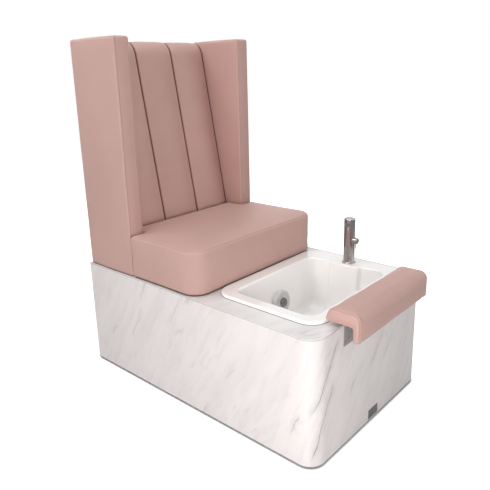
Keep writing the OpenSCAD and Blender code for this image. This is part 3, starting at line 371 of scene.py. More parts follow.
def sewn_piece(name, verts, faces, distance, material, body, replaced, caps=()):
    """A padded cover as a piece of the scene, in place of the named solids."""
    mesh = raw_mesh(name, verts, [*faces, *caps])
    # The seam attribute carries painted shade along the seams, and their rougher finish
    near = mesh.attributes.new("seam", "FLOAT", "POINT")
    near.data.foreach_set("value", fade(distance, SEAM_SHADE_REACH).astype(np.float32))
    tidy_mesh(mesh)
    piece = place(name, mesh, material, body, "pink_leatherette")
    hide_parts(*replaced)
    return piece


STITCH_PITCH = 4.6 * MM
STITCH_LENGTH = 3.4 * MM
STITCH_RADIUS = 0.38 * MM
STITCH_SHAPE_SHARES = ((-0.5, 0.25), (-0.36, 0.85), (0.36, 0.85), (0.5, 0.25))
STITCH_LIFT_SHARE, STITCH_SINK_SHARE = 0.15, 0.9
STITCH_SIDES = 5
STITCH_MERGE = 1e-7


def stitches(name, runs, material, body):
    """Rows of thread lying on leather. Each run is (points, normals) along one seam."""
    verts, faces = [], []
    turns = 2 * math.pi * np.arange(STITCH_SIDES) / STITCH_SIDES
    for points, normals in runs:
        reach = reaches(points)
        for at in np.arange(STITCH_PITCH / 2, reach[-1], STITCH_PITCH):
            middle, ahead, behind = [at_reach(points, np.array([at + d]))[0]
                                     for d in (0, STITCH_LENGTH / 3, -STITCH_LENGTH / 3)]
            up = norm(np.array([np.interp(at, reach, normals[:, k]) for k in range(3)]))
            along = norm(ahead - behind)
            side = norm(np.cross(along, up))
            up = np.cross(side, along)
            base = len(verts)
            for share, fat in STITCH_SHAPE_SHARES:
                lift = STITCH_RADIUS * (STITCH_LIFT_SHARE - STITCH_SINK_SHARE * (2 * share) ** 4)
                for turn in turns:
                    verts.append(middle + along * share * STITCH_LENGTH + up * lift
                                 + STITCH_RADIUS * fat * (math.cos(turn) * side + math.sin(turn) * up))
            last = base + (len(STITCH_SHAPE_SHARES) - 1) * STITCH_SIDES
            for first in range(base, last, STITCH_SIDES):
                for k in range(STITCH_SIDES):
                    a, b = first + k, first + (k + 1) % STITCH_SIDES
                    faces.append((a, b, b + STITCH_SIDES, a + STITCH_SIDES))
            faces.append(tuple(base + k for k in range(STITCH_SIDES))[::-1])
            faces.append(tuple(last + k for k in range(STITCH_SIDES)))
    mesh = raw_mesh(name, verts, faces)
    tidy_mesh(mesh, STITCH_MERGE)
    return place(name, mesh, material, body, "pink_leatherette")


# Shader code


class Wires:
    """Adds nodes to one shader tree."""

    def __init__(self, tree):
        self.tree = tree

    def add(self, kind, inputs=None, **settings):
        node = self.tree.nodes.new(kind)
        for key, value in settings.items():
            setattr(node, key, value)
        for key, value in (inputs or {}).items():
            self.put(node.inputs[key], value)
        return node

    def put(self, socket, value):
        if isinstance(value, bpy.types.NodeSocket):
            self.tree.links.new(value, socket)
        else:
            socket.default_value = value

    def math(self, what, a, b=0.0, c=0.0, clamp=False):
        node = self.add("ShaderNodeMath", {0: a, 1: b, 2: c}, operation=what, use_clamp=clamp)
        return node.outputs[0]

    def vector(self, what, a, b=(0.0, 0.0, 0.0), scale=1.0):
        inputs = {0: a, "Scale": scale} if what == "SCALE" else {0: a, 1: b}
        node = self.add("ShaderNodeVectorMath", inputs, operation=what)
        return node.outputs["Value" if what in ("DOT_PRODUCT", "LENGTH", "DISTANCE") else "Vector"]

    def noise(self, where, scale, detail=2.0, rough=0.5, distortion=0.0):
        inputs = {"Vector": where, "Scale": scale, "Detail": detail, "Roughness": rough,
                  "Distortion": distortion}
        return self.add("ShaderNodeTexNoise", inputs).outputs["Fac"]

    def ramp(self, value, low, high, out_low=0.0, out_high=1.0, smooth=True):
        inputs = {"Value": value, "From Min": low, "From Max": high, "To Min": out_low, "To Max": out_high}
        kind = "SMOOTHSTEP" if smooth else "LINEAR"
        return self.add("ShaderNodeMapRange", inputs, interpolation_type=kind, clamp=True).outputs["Result"]

    def blend(self, share, a, b, how="MIX"):
        node = self.add("ShaderNodeMix", data_type="RGBA", blend_type=how)
        self.put(node.inputs[0], share)
        self.put(node.inputs[6], a)
        self.put(node.inputs[7], b)
        return node.outputs[2]

    def grey(self, tone):
        """A colour with the same value in all three channels."""
        return self.add("ShaderNodeCombineColor", {0: tone, 1: tone, 2: tone}).outputs[0]

    def openness(self, reach):
        """1 in the open, and less where another surface is within reach."""
        return self.add("ShaderNodeAmbientOcclusion", {"Distance": reach}, samples=8).outputs["AO"]

    def group(self, tree, inputs=None):
        return self.add("ShaderNodeGroup", inputs, node_tree=tree)


NUMBER, PLACE = "NodeSocketFloat", "NodeSocketVector"


def shader_group(name, inputs, outputs):
    """An empty group with named sockets, its wires, and its input and output nodes."""
    tree = bpy.data.node_groups.new(name, "ShaderNodeTree")
    for title, kind, value in inputs:
        socket = tree.interface.new_socket(name=title, in_out="INPUT", socket_type=kind)
        if value is not None:
            socket.default_value = value
    for title, kind in outputs:
        tree.interface.new_socket(name=title, in_out="OUTPUT", socket_type=kind)
    w = Wires(tree)
    return tree, w, w.add("NodeGroupInput").outputs, w.add("NodeGroupOutput").inputs


GRAIN_WANDER = 4 * MM


def make_grain_group():
    """Fine pebble grain of leatherette: height, and a tone that is low in the creases."""
    tree, w, given, out = shader_group(
        "leather grain", [("Place", PLACE, None), ("Cell size", NUMBER, 1.1 * MM)],
        [("Height", NUMBER), ("Tone", NUMBER)])
    per_metre = w.math("DIVIDE", 1.0, given["Cell size"])
    wander = w.add("ShaderNodeTexNoise", {"Vector": given["Place"], "Scale": 90.0, "Detail": 2.0})
    shift = w.vector("SUBTRACT", wander.outputs["Color"], (0.5, 0.5, 0.5))
    shift = w.vector("SCALE", shift, scale=GRAIN_WANDER)
    place = w.vector("ADD", given["Place"], shift)
    cells = w.add("ShaderNodeTexVoronoi", {"Vector": place, "Scale": per_metre}, feature="SMOOTH_F1")
    cells.inputs["Smoothness"].default_value = 0.6
    pebble = w.ramp(cells.outputs["Distance"], 0.15, 0.75, 1.0, 0.0)
    fine = w.noise(given["Place"], w.math("MULTIPLY", per_metre, 2.6), detail=3.0, rough=0.6)
    w.put(out["Height"], w.math("ADD", w.math("MULTIPLY", pebble, 0.75), w.math("MULTIPLY", fine, 0.25)))
    w.put(out["Tone"], pebble)
    return tree


def make_smudge_group():
    """Uneven cleaning marks on hard, smooth finishes: an offset for roughness and a faint tone."""
    tree, w, given, out = shader_group(
        "wiped surface", [("Place", PLACE, None), ("Size", NUMBER, 50 * MM), ("Amount", NUMBER, 0.05)],
        [("Roughness change", NUMBER), ("Tone", NUMBER)])
    per_metre = w.math("DIVIDE", 1.0, given["Size"])
    broad = w.ramp(w.noise(given["Place"], per_metre, detail=3.0, rough=0.55, distortion=0.6), 0.35, 0.7)
    fine = w.noise(given["Place"], w.math("MULTIPLY", per_metre, 14.0), detail=4.0, rough=0.7)
    mixed = w.math("ADD", w.math("MULTIPLY", broad, 0.7), w.math("MULTIPLY", fine, 0.3))
    w.put(out["Roughness change"], w.math("MULTIPLY", mixed, given["Amount"]))
    dulled = w.math("MULTIPLY", mixed, w.math("MULTIPLY", given["Amount"], 0.6))
    w.put(out["Tone"], w.math("SUBTRACT", 1.0, dulled))
    return tree


VEIN_BEND, VEIN_LONG_SHARE = 70 * MM, 0.2


def make_vein_group():
    """Soft grey marble veins that run down a face: a mask of thin veins, a broad cloud and fine streaks."""
    tree, w, given, out = shader_group(
        "marble veins", [("Across", NUMBER, 0.0), ("Down", NUMBER, 0.0), ("Shift", NUMBER, 0.0)],
        [("Veins", NUMBER), ("Cloud", NUMBER), ("Streaks", NUMBER)])
    straight = {0: given["Across"], 1: given["Down"], 2: given["Shift"]}
    flat = w.add("ShaderNodeCombineXYZ", straight).outputs[0]
    bend = w.math("MULTIPLY", w.math("SUBTRACT", w.noise(flat, 4.5, detail=4.0, rough=0.6), 0.5), VEIN_BEND)
    across = w.math("ADD", given["Across"], bend)
    long = w.math("MULTIPLY", given["Down"], VEIN_LONG_SHARE)
    bent = w.add("ShaderNodeCombineXYZ", {0: across, 1: long, 2: given["Shift"]}).outputs[0]
    line = w.math("ABSOLUTE", w.math("SUBTRACT", w.noise(bent, 9.0, detail=2.0, rough=0.5), 0.5))
    thin = w.ramp(line, 0.0, 0.022, 1.0, 0.0)
    broken = w.ramp(w.noise(flat, 7.0, detail=2.0, rough=0.5), 0.54, 0.7)
    w.put(out["Veins"], w.math("MULTIPLY", thin, broken))
    w.put(out["Cloud"], w.ramp(w.noise(bent, 8.0, detail=4.0, rough=0.6), 0.38, 0.75))
    w.put(out["Streaks"], w.ramp(w.noise(bent, 34.0, detail=5.0, rough=0.65), 0.45, 0.8))
    return tree


VEIN_WAVER, VEIN_TAPER, HALO_WIDTHS = 45 * MM, 50 * MM, 9.0


def make_vein_line_group():
    """One drawn vein: a dark wavering line at a place along the wrap, leaning with height."""
    tree, w, given, out = shader_group(
        "single vein",
        [("Along", NUMBER, 0.0), ("Height", NUMBER, 0.0), ("Place", PLACE, None), ("Start", NUMBER, 0.0),
         ("Lean", NUMBER, 0.0), ("Low", NUMBER, 0.0), ("High", NUMBER, 400 * MM), ("Width", NUMBER, 3 * MM)],
        [("Line", NUMBER), ("Halo", NUMBER)])
    waver = w.math("SUBTRACT", w.noise(given["Place"], 9.0, detail=5.0, rough=0.6), 0.5)
    centre = w.math("ADD", given["Start"], w.math("MULTIPLY", given["Height"], given["Lean"]))
    away = w.math("SUBTRACT", given["Along"], centre)
    side = w.math("ABSOLUTE", w.math("SUBTRACT", away, w.math("MULTIPLY", waver, VEIN_WAVER)))
    uneven = w.ramp(w.noise(given["Place"], 30.0, detail=3.0, rough=0.6), 0.3, 0.7, 0.45, 1.25)
    wide = w.math("MULTIPLY", given["Width"], uneven)
    low = w.ramp(given["Height"], given["Low"], w.math("ADD", given["Low"], VEIN_TAPER))
    high = w.ramp(given["Height"], w.math("SUBTRACT", given["High"], VEIN_TAPER), given["High"], 1.0, 0.0)
    ends = w.math("MULTIPLY", low, high)
    halo = w.ramp(side, 0.0, w.math("MULTIPLY", wide, HALO_WIDTHS), 1.0, 0.0)
    w.put(out["Line"], w.math("MULTIPLY", w.ramp(side, 0.0, wide, 1.0, 0.0), ends))
    w.put(out["Halo"], w.math("MULTIPLY", halo, ends))
    return tree


def make_wood_group():
    """Long grain of sawn wood or ply faces: tone and height."""
    tree, w, given, out = shader_group(
        "wood grain", [("Place", PLACE, None), ("Stretch", PLACE, (1.0, 0.06, 1.0))],
        [("Tone", NUMBER), ("Height", NUMBER)])
    place = w.vector("MULTIPLY", given["Place"], given["Stretch"])
    wander = w.noise(place, 6.0, detail=3.0, rough=0.5)
    rings = w.add("ShaderNodeTexWave", {"Vector": place, "Scale": 28.0, "Distortion": 6.0, "Detail": 3.0,
                                        "Detail Scale": 1.2}, wave_type="BANDS", bands_direction="DIAGONAL")
    fibre = w.noise(place, 260.0, detail=4.0, rough=0.7)
    mixed = w.math("ADD", w.math("MULTIPLY", rings.outputs["Fac"], 0.45), w.math("MULTIPLY", wander, 0.3))
    w.put(out["Tone"], w.math("ADD", mixed, w.math("MULTIPLY", fibre, 0.25)))
    w.put(out["Height"], w.math("ADD", fibre, w.math("MULTIPLY", rings.outputs["Fac"], 0.3)))
    return tree


GRAIN = make_grain_group()
SMUDGE = make_smudge_group()
VEINS = make_vein_group()
VEIN_LINE = make_vein_line_group()
WOOD = make_wood_group()


def linear(colour):
    """A display colour of 0 to 255 as shader numbers."""
    out = []
    for c in colour:
        c = c / 255
        out.append(c / 12.92 if c <= 0.04045 else ((c + 0.055) / 1.055) ** 2.4)
    return (*out, 1.0)


def new_material(name, **fixed):
    """A material, its wires, its Principled node with fixed inputs, and the object's own coordinates."""
    material = bpy.data.materials.new(name)
    material.use_nodes = True
    tree = material.node_tree
    shader = tree.nodes["Principled BSDF"]
    for key, value in fixed.items():
        shader.inputs[key.replace("_", " ")].default_value = value
    w = Wires(tree)
    place = w.add("ShaderNodeTexCoord").outputs["Object"]
    return material, w, shader, place


def bump(w, shader, height, distance, bevel=0.0):
    """Fine relief, over edges that look rounded by bevel."""
    inputs = {"Height": height, "Distance": distance}
    if bevel:
        inputs["Normal"] = w.add("ShaderNodeBevel", {"Radius": bevel}, samples=4).outputs[0]
    w.put(shader.inputs["Normal"], w.add("ShaderNodeBump", inputs).outputs["Normal"])


# Painted shade where leatherette pieces touch: its colour, and how near another surface must be
PAINTED_CONTACT_SHADE = (118, 76, 70)
PAINTED_CONTACT_REACH = 9 * MM


def leatherette(name, colour, cell=1.1 * MM, depth=0.06 * MM, rough=0.46, seam=(0.86, 0.84, 0.83)):
    """Embossed leatherette, with painted shade along its seams, darker by the shares in seam, and painted
    shade where pieces touch.
    """
    material, w, shader, place = new_material(
        name, Sheen_Weight=0.12, Sheen_Roughness=0.45, Specular_IOR_Level=0.4)
    grain = w.group(GRAIN, {"Place": place, "Cell size": cell})
    near = w.add("ShaderNodeAttribute", attribute_name="seam").outputs["Fac"]
    cloud = w.noise(place, 4.0, detail=3.0, rough=0.5)
    tone = w.ramp(cloud, 0.3, 0.7, 0.965, 1.03, smooth=False)
    tone = w.math("MULTIPLY", tone, w.ramp(grain.outputs["Tone"], 0.0, 1.0, 0.965, 1.0, smooth=False))
    # Painted shade along the seams: the colour darkened by the shares in seam
    crease_shade = [c * k for c, k in zip(linear(colour), seam)]
    # Painted shade: darker where another surface is near
    shade_openness = w.openness(PAINTED_CONTACT_REACH)
    painted_shade_colour = w.blend(w.ramp(near, 0.2, 0.9), linear(colour), (*crease_shade, 1.0))
    painted_shade_colour = w.blend(w.ramp(shade_openness, 0.25, 0.72, 1.0, 0.0), painted_shade_colour, linear(PAINTED_CONTACT_SHADE))
    w.put(shader.inputs["Base Color"], w.blend(1.0, painted_shade_colour, w.grey(tone), "MULTIPLY"))
    gloss = w.math("ADD", rough, w.math("MULTIPLY", w.noise(place, 22.0, detail=4.0, rough=0.6), 0.1))
    w.put(shader.inputs["Roughness"], w.math("ADD", gloss, w.math("MULTIPLY", near, 0.12)))
    stretch = w.noise(place, 160.0, detail=2.0, rough=0.5)
    height = w.math("ADD", grain.outputs["Height"], w.math("MULTIPLY", stretch, 0.8))
    bump(w, shader, height, depth)
    return material


# Marble-look laminate

MARBLE_WRAP_TONE, MARBLE_DECK_TONE = (237, 230, 228), (240, 238, 237)
MARBLE_LAYERS = (("Cloud", 0.6, (221, 214, 213)), ("Streaks", 0.4, (203, 196, 196)),
                 ("Veins", 0.38, (176, 169, 170)))
HALO_TONE, LINE_TONE = (186, 180, 181), (140, 134, 137)
# Colour of the dark joint at the wrap's top and of the painted shadow at its foot; colour and reach of the
# painted shade on the deck near what stands on it
JOINT_AND_SHADE_TONE, DECK_PAINTED_SHADE_TONE, DECK_PAINTED_SHADE_REACH = (104, 96, 96), (96, 88, 88), 7 * MM
VEIN_LEAN, DECK_LEAN = 0.52, 0.35
# Heights of the dark joint under the deck's lip and of the painted shadow line at the wrap's foot
TOP_LINE, FOOT_SHADE_LINE = (465.2 * MM, 466.2 * MM), (8.5 * MM, 10.5 * MM)
# Veins seen in the photograph: start along the wrap in millimetres, lean, low and high ends and width in
# millimetres, and darkness
DRAWN_VEINS = (
    (57, 0.596, 190, 450, 4.6, 0.85),
    (167, 0.42, 20, 310, 4.8, 0.75),
    (19, 0.56, 100, 210, 4.0, 0.6),
    (-836, 0.48, 170, 370, 3.8, 0.3),
    (-859, 0.50, 360, 500, 3.6, 0.35),
    (-669, 0.53, 310, 490, 3.4, 0.25),
    (-463, 0.51, 220, 400, 3.6, 0.16),
    (358, 0.77, 220, 380, 3.8, 0.42),
    (430, 0.90, 200, 340, 3.4, 0.38),
)
HALO_SHARE, TOP_LINE_SHARE, JOINT_AND_SHADE_SHARE = 0.4, 0.6, 0.85


def drawn_veins(w, colour, along, height, place):
    """The wrap's own veins over its colour, with the dark joint line at its top and a painted shadow line at
    its foot.
    """
    for start, lean, low, high, width, dark in DRAWN_VEINS:
        line = w.group(VEIN_LINE, {
            "Along": along, "Height": height, "Place": place, "Start": start * MM, "Lean": lean,
            "Low": low * MM, "High": high * MM, "Width": width * MM}).outputs
        colour = w.blend(w.math("MULTIPLY", line["Halo"], HALO_SHARE * dark), colour, linear(HALO_TONE))
        colour = w.blend(w.math("MULTIPLY", line["Line"], dark), colour, linear(LINE_TONE))
    # The dark joint at the top, and painted shadow at the foot
    top, foot = w.ramp(height, *TOP_LINE, 0.0, TOP_LINE_SHARE), w.ramp(height, *FOOT_SHADE_LINE, 1.0, 0.0)
    edge = w.math("ADD", top, foot, clamp=True)
    return w.blend(w.math("MULTIPLY", edge, JOINT_AND_SHADE_SHARE), colour, linear(JOINT_AND_SHADE_TONE))


def marble(name, wrap=True, shift=0.0):
    """Marble-look laminate, whose veins lean as they run down the wrap, or cross the deck."""
    material, w, shader, place = new_material(
        name, Specular_IOR_Level=0.5, Coat_Weight=0.25, Coat_Roughness=0.2)
    parts = w.add("ShaderNodeSeparateXYZ", {0: place}).outputs
    along, height = w.math("SUBTRACT", parts["X"], parts["Y"]), parts["Z"]
    if wrap:
        across, down = w.math("SUBTRACT", along, w.math("MULTIPLY", height, VEIN_LEAN)), height
    else:
        across, down = w.math("ADD", parts["Y"], w.math("MULTIPLY", parts["X"], DECK_LEAN)), parts["X"]
    veins = w.group(VEINS, {"Across": across, "Down": down, "Shift": shift}).outputs
    colour = linear(MARBLE_WRAP_TONE if wrap else MARBLE_DECK_TONE)
    for mask, share, tone in MARBLE_LAYERS:
        colour = w.blend(w.math("MULTIPLY", veins[mask], share), colour, linear(tone))
    if wrap:
        colour = drawn_veins(w, colour, along, height, place)
    else:
        # Painted shade on the deck where the basin's rim and other pieces stand on it
        shade_openness = w.openness(DECK_PAINTED_SHADE_REACH)
        colour = w.blend(w.ramp(shade_openness, 0.45, 0.85, 0.8, 0.0), colour, linear(DECK_PAINTED_SHADE_TONE))
    w.put(shader.inputs["Base Color"], colour)
    wiped = w.group(SMUDGE, {"Place": place, "Size": 220 * MM, "Amount": 0.1})
    w.put(shader.inputs["Roughness"], w.math("ADD", 0.3, wiped.outputs["Roughness change"]))
    bump(w, shader, w.noise(place, 420.0, detail=2.0, rough=0.5), 0.02 * MM, bevel=1.2 * MM)
    return material


# Metal, plastic, rubber, glaze, wood and braid

WOOD_GRAIN_DEPTH = 0.2 * MM
BRAID_DEPTH = 0.2 * MM
BRAID_SHADE_SHARE = 0.45


def hard(name, colour, rough, metallic=0.0, amount=0.06, size=50 * MM, grain=0.0, grain_size=1.2 * MM,
         bevel=0.0, **fixed):
    """A hard finish: metal, plastic, rubber or glaze, with uneven gloss and, with grain, a moulded one."""
    material, w, shader, place = new_material(name, Metallic=metallic, **fixed)
    wiped = w.group(SMUDGE, {"Place": place, "Size": size, "Amount": amount})
    shade = w.grey(wiped.outputs["Tone"])
    w.put(shader.inputs["Base Color"], w.blend(1.0, linear(colour), shade, "MULTIPLY"))
    w.put(shader.inputs["Roughness"], w.math("ADD", rough, wiped.outputs["Roughness change"]))
    if grain:
        bump(w, shader, w.noise(place, 1 / grain_size, detail=3.0, rough=0.6), grain, bevel=bevel)
    elif bevel:
        w.put(shader.inputs["Normal"], w.add("ShaderNodeBevel", {"Radius": bevel}, samples=4).outputs[0])
    return material


def wood(name, light, dark, stretch, rough=0.6):
    material, w, shader, place = new_material(name)
    grain = w.group(WOOD, {"Place": place, "Stretch": stretch}).outputs
    darker = w.ramp(grain["Tone"], 0.25, 0.8)
    w.put(shader.inputs["Base Color"], w.blend(darker, linear(light), linear(dark)))
    w.put(shader.inputs["Roughness"], w.ramp(grain["Tone"], 0.0, 1.0, rough, rough + 0.15))
    bump(w, shader, grain["Height"], WOOD_GRAIN_DEPTH)
    return material


def braid(name, colour, pitch=2.2 * MM):
    """Woven steel sleeve: two crossing sets of thin bright bands."""
    material, w, shader, place = new_material(name, Metallic=1.0)
    parts = w.add("ShaderNodeSeparateXYZ", {0: place}).outputs
    turn = w.math("ADD", parts["X"], parts["Y"])
    first, second = [w.math("SINE", w.math("MULTIPLY", w.math(way, parts["Z"], turn), 2 * math.pi / pitch))
                     for way in ("ADD", "SUBTRACT")]
    weave = w.math("MAXIMUM", first, second)
    shaded = linear([c * BRAID_SHADE_SHARE for c in colour])
    w.put(shader.inputs["Base Color"], w.blend(w.ramp(weave, -0.2, 0.8), shaded, linear(colour)))
    w.put(shader.inputs["Roughness"], w.ramp(weave, -0.5, 1.0, 0.5, 0.28))
    bump(w, shader, weave, BRAID_DEPTH)
    return material


pink = leatherette("pink leatherette", (201, 163, 154))
# A slightly darker copy of the pink, with deep painted shade in the creases between the channels
pink_channel = leatherette("pink leatherette channels", (196, 158, 149), seam=(0.42, 0.2, 0.19))
thread = leatherette("pink thread", (222, 188, 178), cell=0.6 * MM, depth=0.04 * MM, rough=0.6)
marble_wrap = marble("marble laminate")
marble_deck = marble("marble laminate deck", wrap=False, shift=0.4)
chrome = hard("polished chrome", (168, 162, 161), 0.1, 1.0, amount=0.05, size=30 * MM, bevel=0.8 * MM)
dark_chrome = hard("dark chrome", (120, 117, 118), 0.12, 1.0, amount=0.06, size=20 * MM, bevel=0.8 * MM)
glaze = hard("white glaze", (255, 253, 251), 0.09, amount=0.05, size=120 * MM,
             Coat_Weight=1.0, Coat_Roughness=0.03)
white_plastic = hard("white plastic", (236, 236, 233), 0.32, grain=0.03 * MM, bevel=0.6 * MM)
grey_plastic = hard("grey plastic", (112, 112, 114), 0.42, grain=0.06 * MM, bevel=0.8 * MM)
black_plastic = hard("black plastic", (34, 34, 36), 0.4, grain=0.06 * MM, bevel=0.8 * MM)
black_rubber = hard("black rubber", (30, 30, 31), 0.65, grain=0.08 * MM, bevel=0.6 * MM)
white_rubber = hard("white sealant", (232, 231, 228), 0.45, amount=0.1, bevel=0.4 * MM)
grey_paint = hard("grey painted steel", (158, 152, 150), 0.38, 0.3, grain=0.03 * MM, grain_size=0.9 * MM,
                  bevel=0.6 * MM)
plate_steel = hard("brushed plate", (140, 136, 136), 0.34, 1.0, amount=0.1, size=10 * MM, bevel=0.6 * MM)
zinc = hard("zinc plated steel", (178, 178, 180), 0.3, 1.0, amount=0.15, size=10 * MM, bevel=0.5 * MM)
brass = hard("turned brass", (196, 164, 96), 0.26, 1.0, amount=0.12, size=12 * MM, bevel=0.6 * MM)
clear_plastic = hard("clear plastic", (246, 246, 246), 0.12, amount=0.05, size=20 * MM, bevel=0.6 * MM,
                     Transmission_Weight=0.3, IOR=1.49)
pine = wood("planed pine", (224, 190, 138), (188, 144, 92), (1.0, 0.06, 1.0))
plywood = wood("sanded ply", (210, 176, 128), (178, 138, 92), (1.0, 1.0, 0.05))
stained_ply = wood("stained ply", (128, 120, 117), (108, 101, 98), (1.0, 1.0, 0.05))
steel_braid = braid("braided steel sleeve", (190, 190, 192))

CAD_FINISHES = (
    (marble_wrap, "plinth_wrap"),
    (marble_deck, "deck", "rear_panel"),
    (pine, "base_rails", "base_cross_rails", "posts", "top_rails", "deck_bearers"),
    (plywood, "seat_board", "back_frame", "slant_board", "wing_core_left", "wing_core_right"),
    (stained_ply, "footrest_board"),
    (white_plastic, "waste_nut", "bottle_trap", "waste_pipe", "jet_housing", "jet_nut", "jet_impeller",
     "tap_cartridge"),
    (chrome, "waste_flange", "waste_plug", "tap_base", "tap_body", "tap_shank", "tap_barrel", "tap_lever",
     "handset", "stop_valves"),
    (dark_chrome, "jet_cap"),
    (clear_plastic, "jet_cover"),
    (zinc, "rear_panel_screws", "wing_bolts", "bracket_screws"),
    (steel_braid, "handset_hose", "hose_loop", "supply_hoses"),
    (grey_paint, "footrest_brackets"),
    (plate_steel, "front_plate"),
    (grey_plastic, "jet_power_box", "spray_face"),
    (black_plastic, "glides", "jet_motor", "cable_gland"),
    (black_rubber, "motor_cable", "footrest_bumpers"),
    (white_rubber, "basin_seal"),
    (brass, "tap_nut"),
)


def finish_cad_nodes():
    for material, *names in CAD_FINISHES:
        for name in names:
            for spot in NODES[name].material_slots:
                spot.link = "OBJECT"
                spot.material = material


finish_cad_nodes()


# Sizes of the frame that the pieces follow, in metres
DECK_Z = 470 * MM
WING_X, WING_INNER_X = 376 * MM, 300 * MM
WING_FRONT, WING_BACK = 334.5 * MM, 632.5 * MM
CHAIR_H = 1412 * MM
SEAT_FRONT, SEAT_REAR = -42.5 * MM, 419.5 * MM
SEAT_Z = 645 * MM
SHADOW_GAP = 4 * MM
SOFT_GAP = 0.3 * MM
COVER_FRONT = 626.5 * MM
SEAM_STITCH = 4.5 * MM


# Seat

SEAT_CORNER_R, SEAT_NECK_R, SEAT_LEAST_R = 72 * MM, 9 * MM, 3 * MM
SEAT_EDGE_R = 15 * MM
SEAT_CROWN = 7 * MM
SEAT_CROWN_IN = 112 * MM
SEAT_FOOT_R, SEAT_RECESS_R = 9 * MM, 1 * MM
SEAT_BOARD_TOP = DECK_Z + 12 * MM + SOFT_GAP
SEAT_BOARD_IN = 13.4 * MM
SEAT_BOW, SEAT_FOOT_BOW, SEAT_FOOT_BOW_Z = 3 * MM, 1.5 * MM, DECK_Z + 20 * MM
SEAT_SPINE_HALF, SEAT_SPINE_Y = 140 * MM, 190 * MM
SEAT_SEAM_SHARE = 0.62
SEAT_HELD_REACH, SEAT_HELD_Z = 14 * MM, DECK_Z + 30 * MM
SEAT_UNDER_SHARES = (1.0, 0.6, 0.25)
SEAT_SIDE_POINTS = (74, 34, 5, 6, 64, 6, 5, 34)


def seat_outline(inset, bow):
    """The cushion's T, drawn in by inset, with sides that bow inwards."""
    w, neck = WING_X - inset, WING_INNER_X - SOFT_GAP - inset
    front, shoulder, rear = SEAT_FRONT + inset, WING_FRONT - SOFT_GAP - inset, SEAT_REAR - inset
    r, s = max(SEAT_CORNER_R - inset, SEAT_LEAST_R), max(SEAT_NECK_R - inset, SEAT_LEAST_R)
    points = [(-w, front), (w, front), (w, shoulder), (neck, shoulder), (neck, rear), (-neck, rear),
              (-neck, shoulder), (-w, shoulder)]
    radii = [r, r, s, SEAT_LEAST_R, s, s, SEAT_LEAST_R, s]
    return rounded(points, radii, SEAT_SIDE_POINTS, bow, arc=12)


def seat_profile():
    """Inset and height up the cushion, from the recess over its board to the middle of its crown."""
    foot = DECK_Z + SHADOW_GAP
    line = path([(SEAT_BOARD_IN, SEAT_BOARD_TOP), (SEAT_BOARD_IN, foot), (0, foot), (0, SEAT_Z),
                 (SEAT_EDGE_R * 2, SEAT_Z)], [SEAT_RECESS_R, SEAT_FOOT_R, SEAT_EDGE_R], 12)
    edge_end = reaches(line)[-2]
    edge_start = edge_end - SEAT_EDGE_R * math.pi / 2
    inset, z = line[-2]
    t = steps(23)
    crown = np.stack((inset + (SEAT_CROWN_IN - inset) * t, z + SEAT_CROWN * (2 - t) * t), 1)
    return np.concatenate((line[:-1], crown)), edge_start, edge_end


def seat_spine(ring):
    """The line that the cushion's rings close up to, a point for each of ring's."""
    middle_x = np.clip(ring[:, 0], -SEAT_SPINE_HALF, SEAT_SPINE_HALF)
    return level(np.column_stack((middle_x, np.full(len(ring), SEAT_SPINE_Y))), ring[0, 2])


def make_seat():
    line, edge_start, edge_end = seat_profile()
    seam = edge_start + SEAT_SEAM_SHARE * (edge_end - edge_start)
    stitch = seam + SEAM_STITCH
    places = spaced(reaches(line)[-1], [seam, stitch])
    stations = at_reach(line, places)
    inset, z = stations[0]
    first = level(seat_outline(inset, SEAT_BOW), z)
    rows = rings_towards(first, seat_spine(first), SEAT_UNDER_SHARES)
    for inset, z in stations:
        rows.append(level(seat_outline(inset, SEAT_FOOT_BOW if z < SEAT_FOOT_BOW_Z else SEAT_BOW), z))
    last = rows[-1]
    top = rings_towards(last, seat_spine(last), steps(21))
    rows += top
    n = len(last)
    under = len(SEAT_UNDER_SHARES)
    distance = np.repeat([NO_SEAM] * under + list(np.abs(places - seam)) + [NO_SEAM] * len(top), n)
    heights = np.concatenate(rows)[:, 2]
    held = np.maximum(fade(distance, SEAT_HELD_REACH), heights < SEAT_HELD_Z)
    verts, faces, normals = sewn_skin(rows, distance, held, seed=1.0, limit=5 * MM, voxel=11 * MM)
    sewn_piece("seat_cover", verts, faces, distance, pink, "chair", ["seat_cushion"])
    k = under + int(np.argmin(np.abs(places - stitch)))
    around = np.r_[k * n:(k + 1) * n, k * n]
    stitches("seat_stitches", [(verts[around], normals[around])], thread, "chair")


# Back channels

RECLINE = math.radians(10.1)
ROLL_DEEP, ROLL_HIGH = 48 * MM, 75 * MM
LUMBAR_Y = 442.8 * MM
PATH_END_Z, ROLL_TOP_Z = 1400 * MM, 1403 * MM
FOOT_Z = 600 * MM
PAD_T = 36 * MM
PAD_SEAM_R = 9 * MM
PAD_CROWN = 14 * MM
PAD_WIDTH = 2 * (WING_INNER_X - SOFT_GAP) / 3
PAD_FRONT_POINTS, PAD_BACK_POINTS = 47, 9
FADE_SHARE, END_SHARE = 0.06, 0.52
CROWN_GAIN_SHARE = 1.8
PAD_HELD_REACH, PAD_FOOT_HELD_REACH = 7 * MM, 30 * MM
# Widens the painted shade along the channels' creases
PAD_SEAM_SHADE_SHARE = 0.42


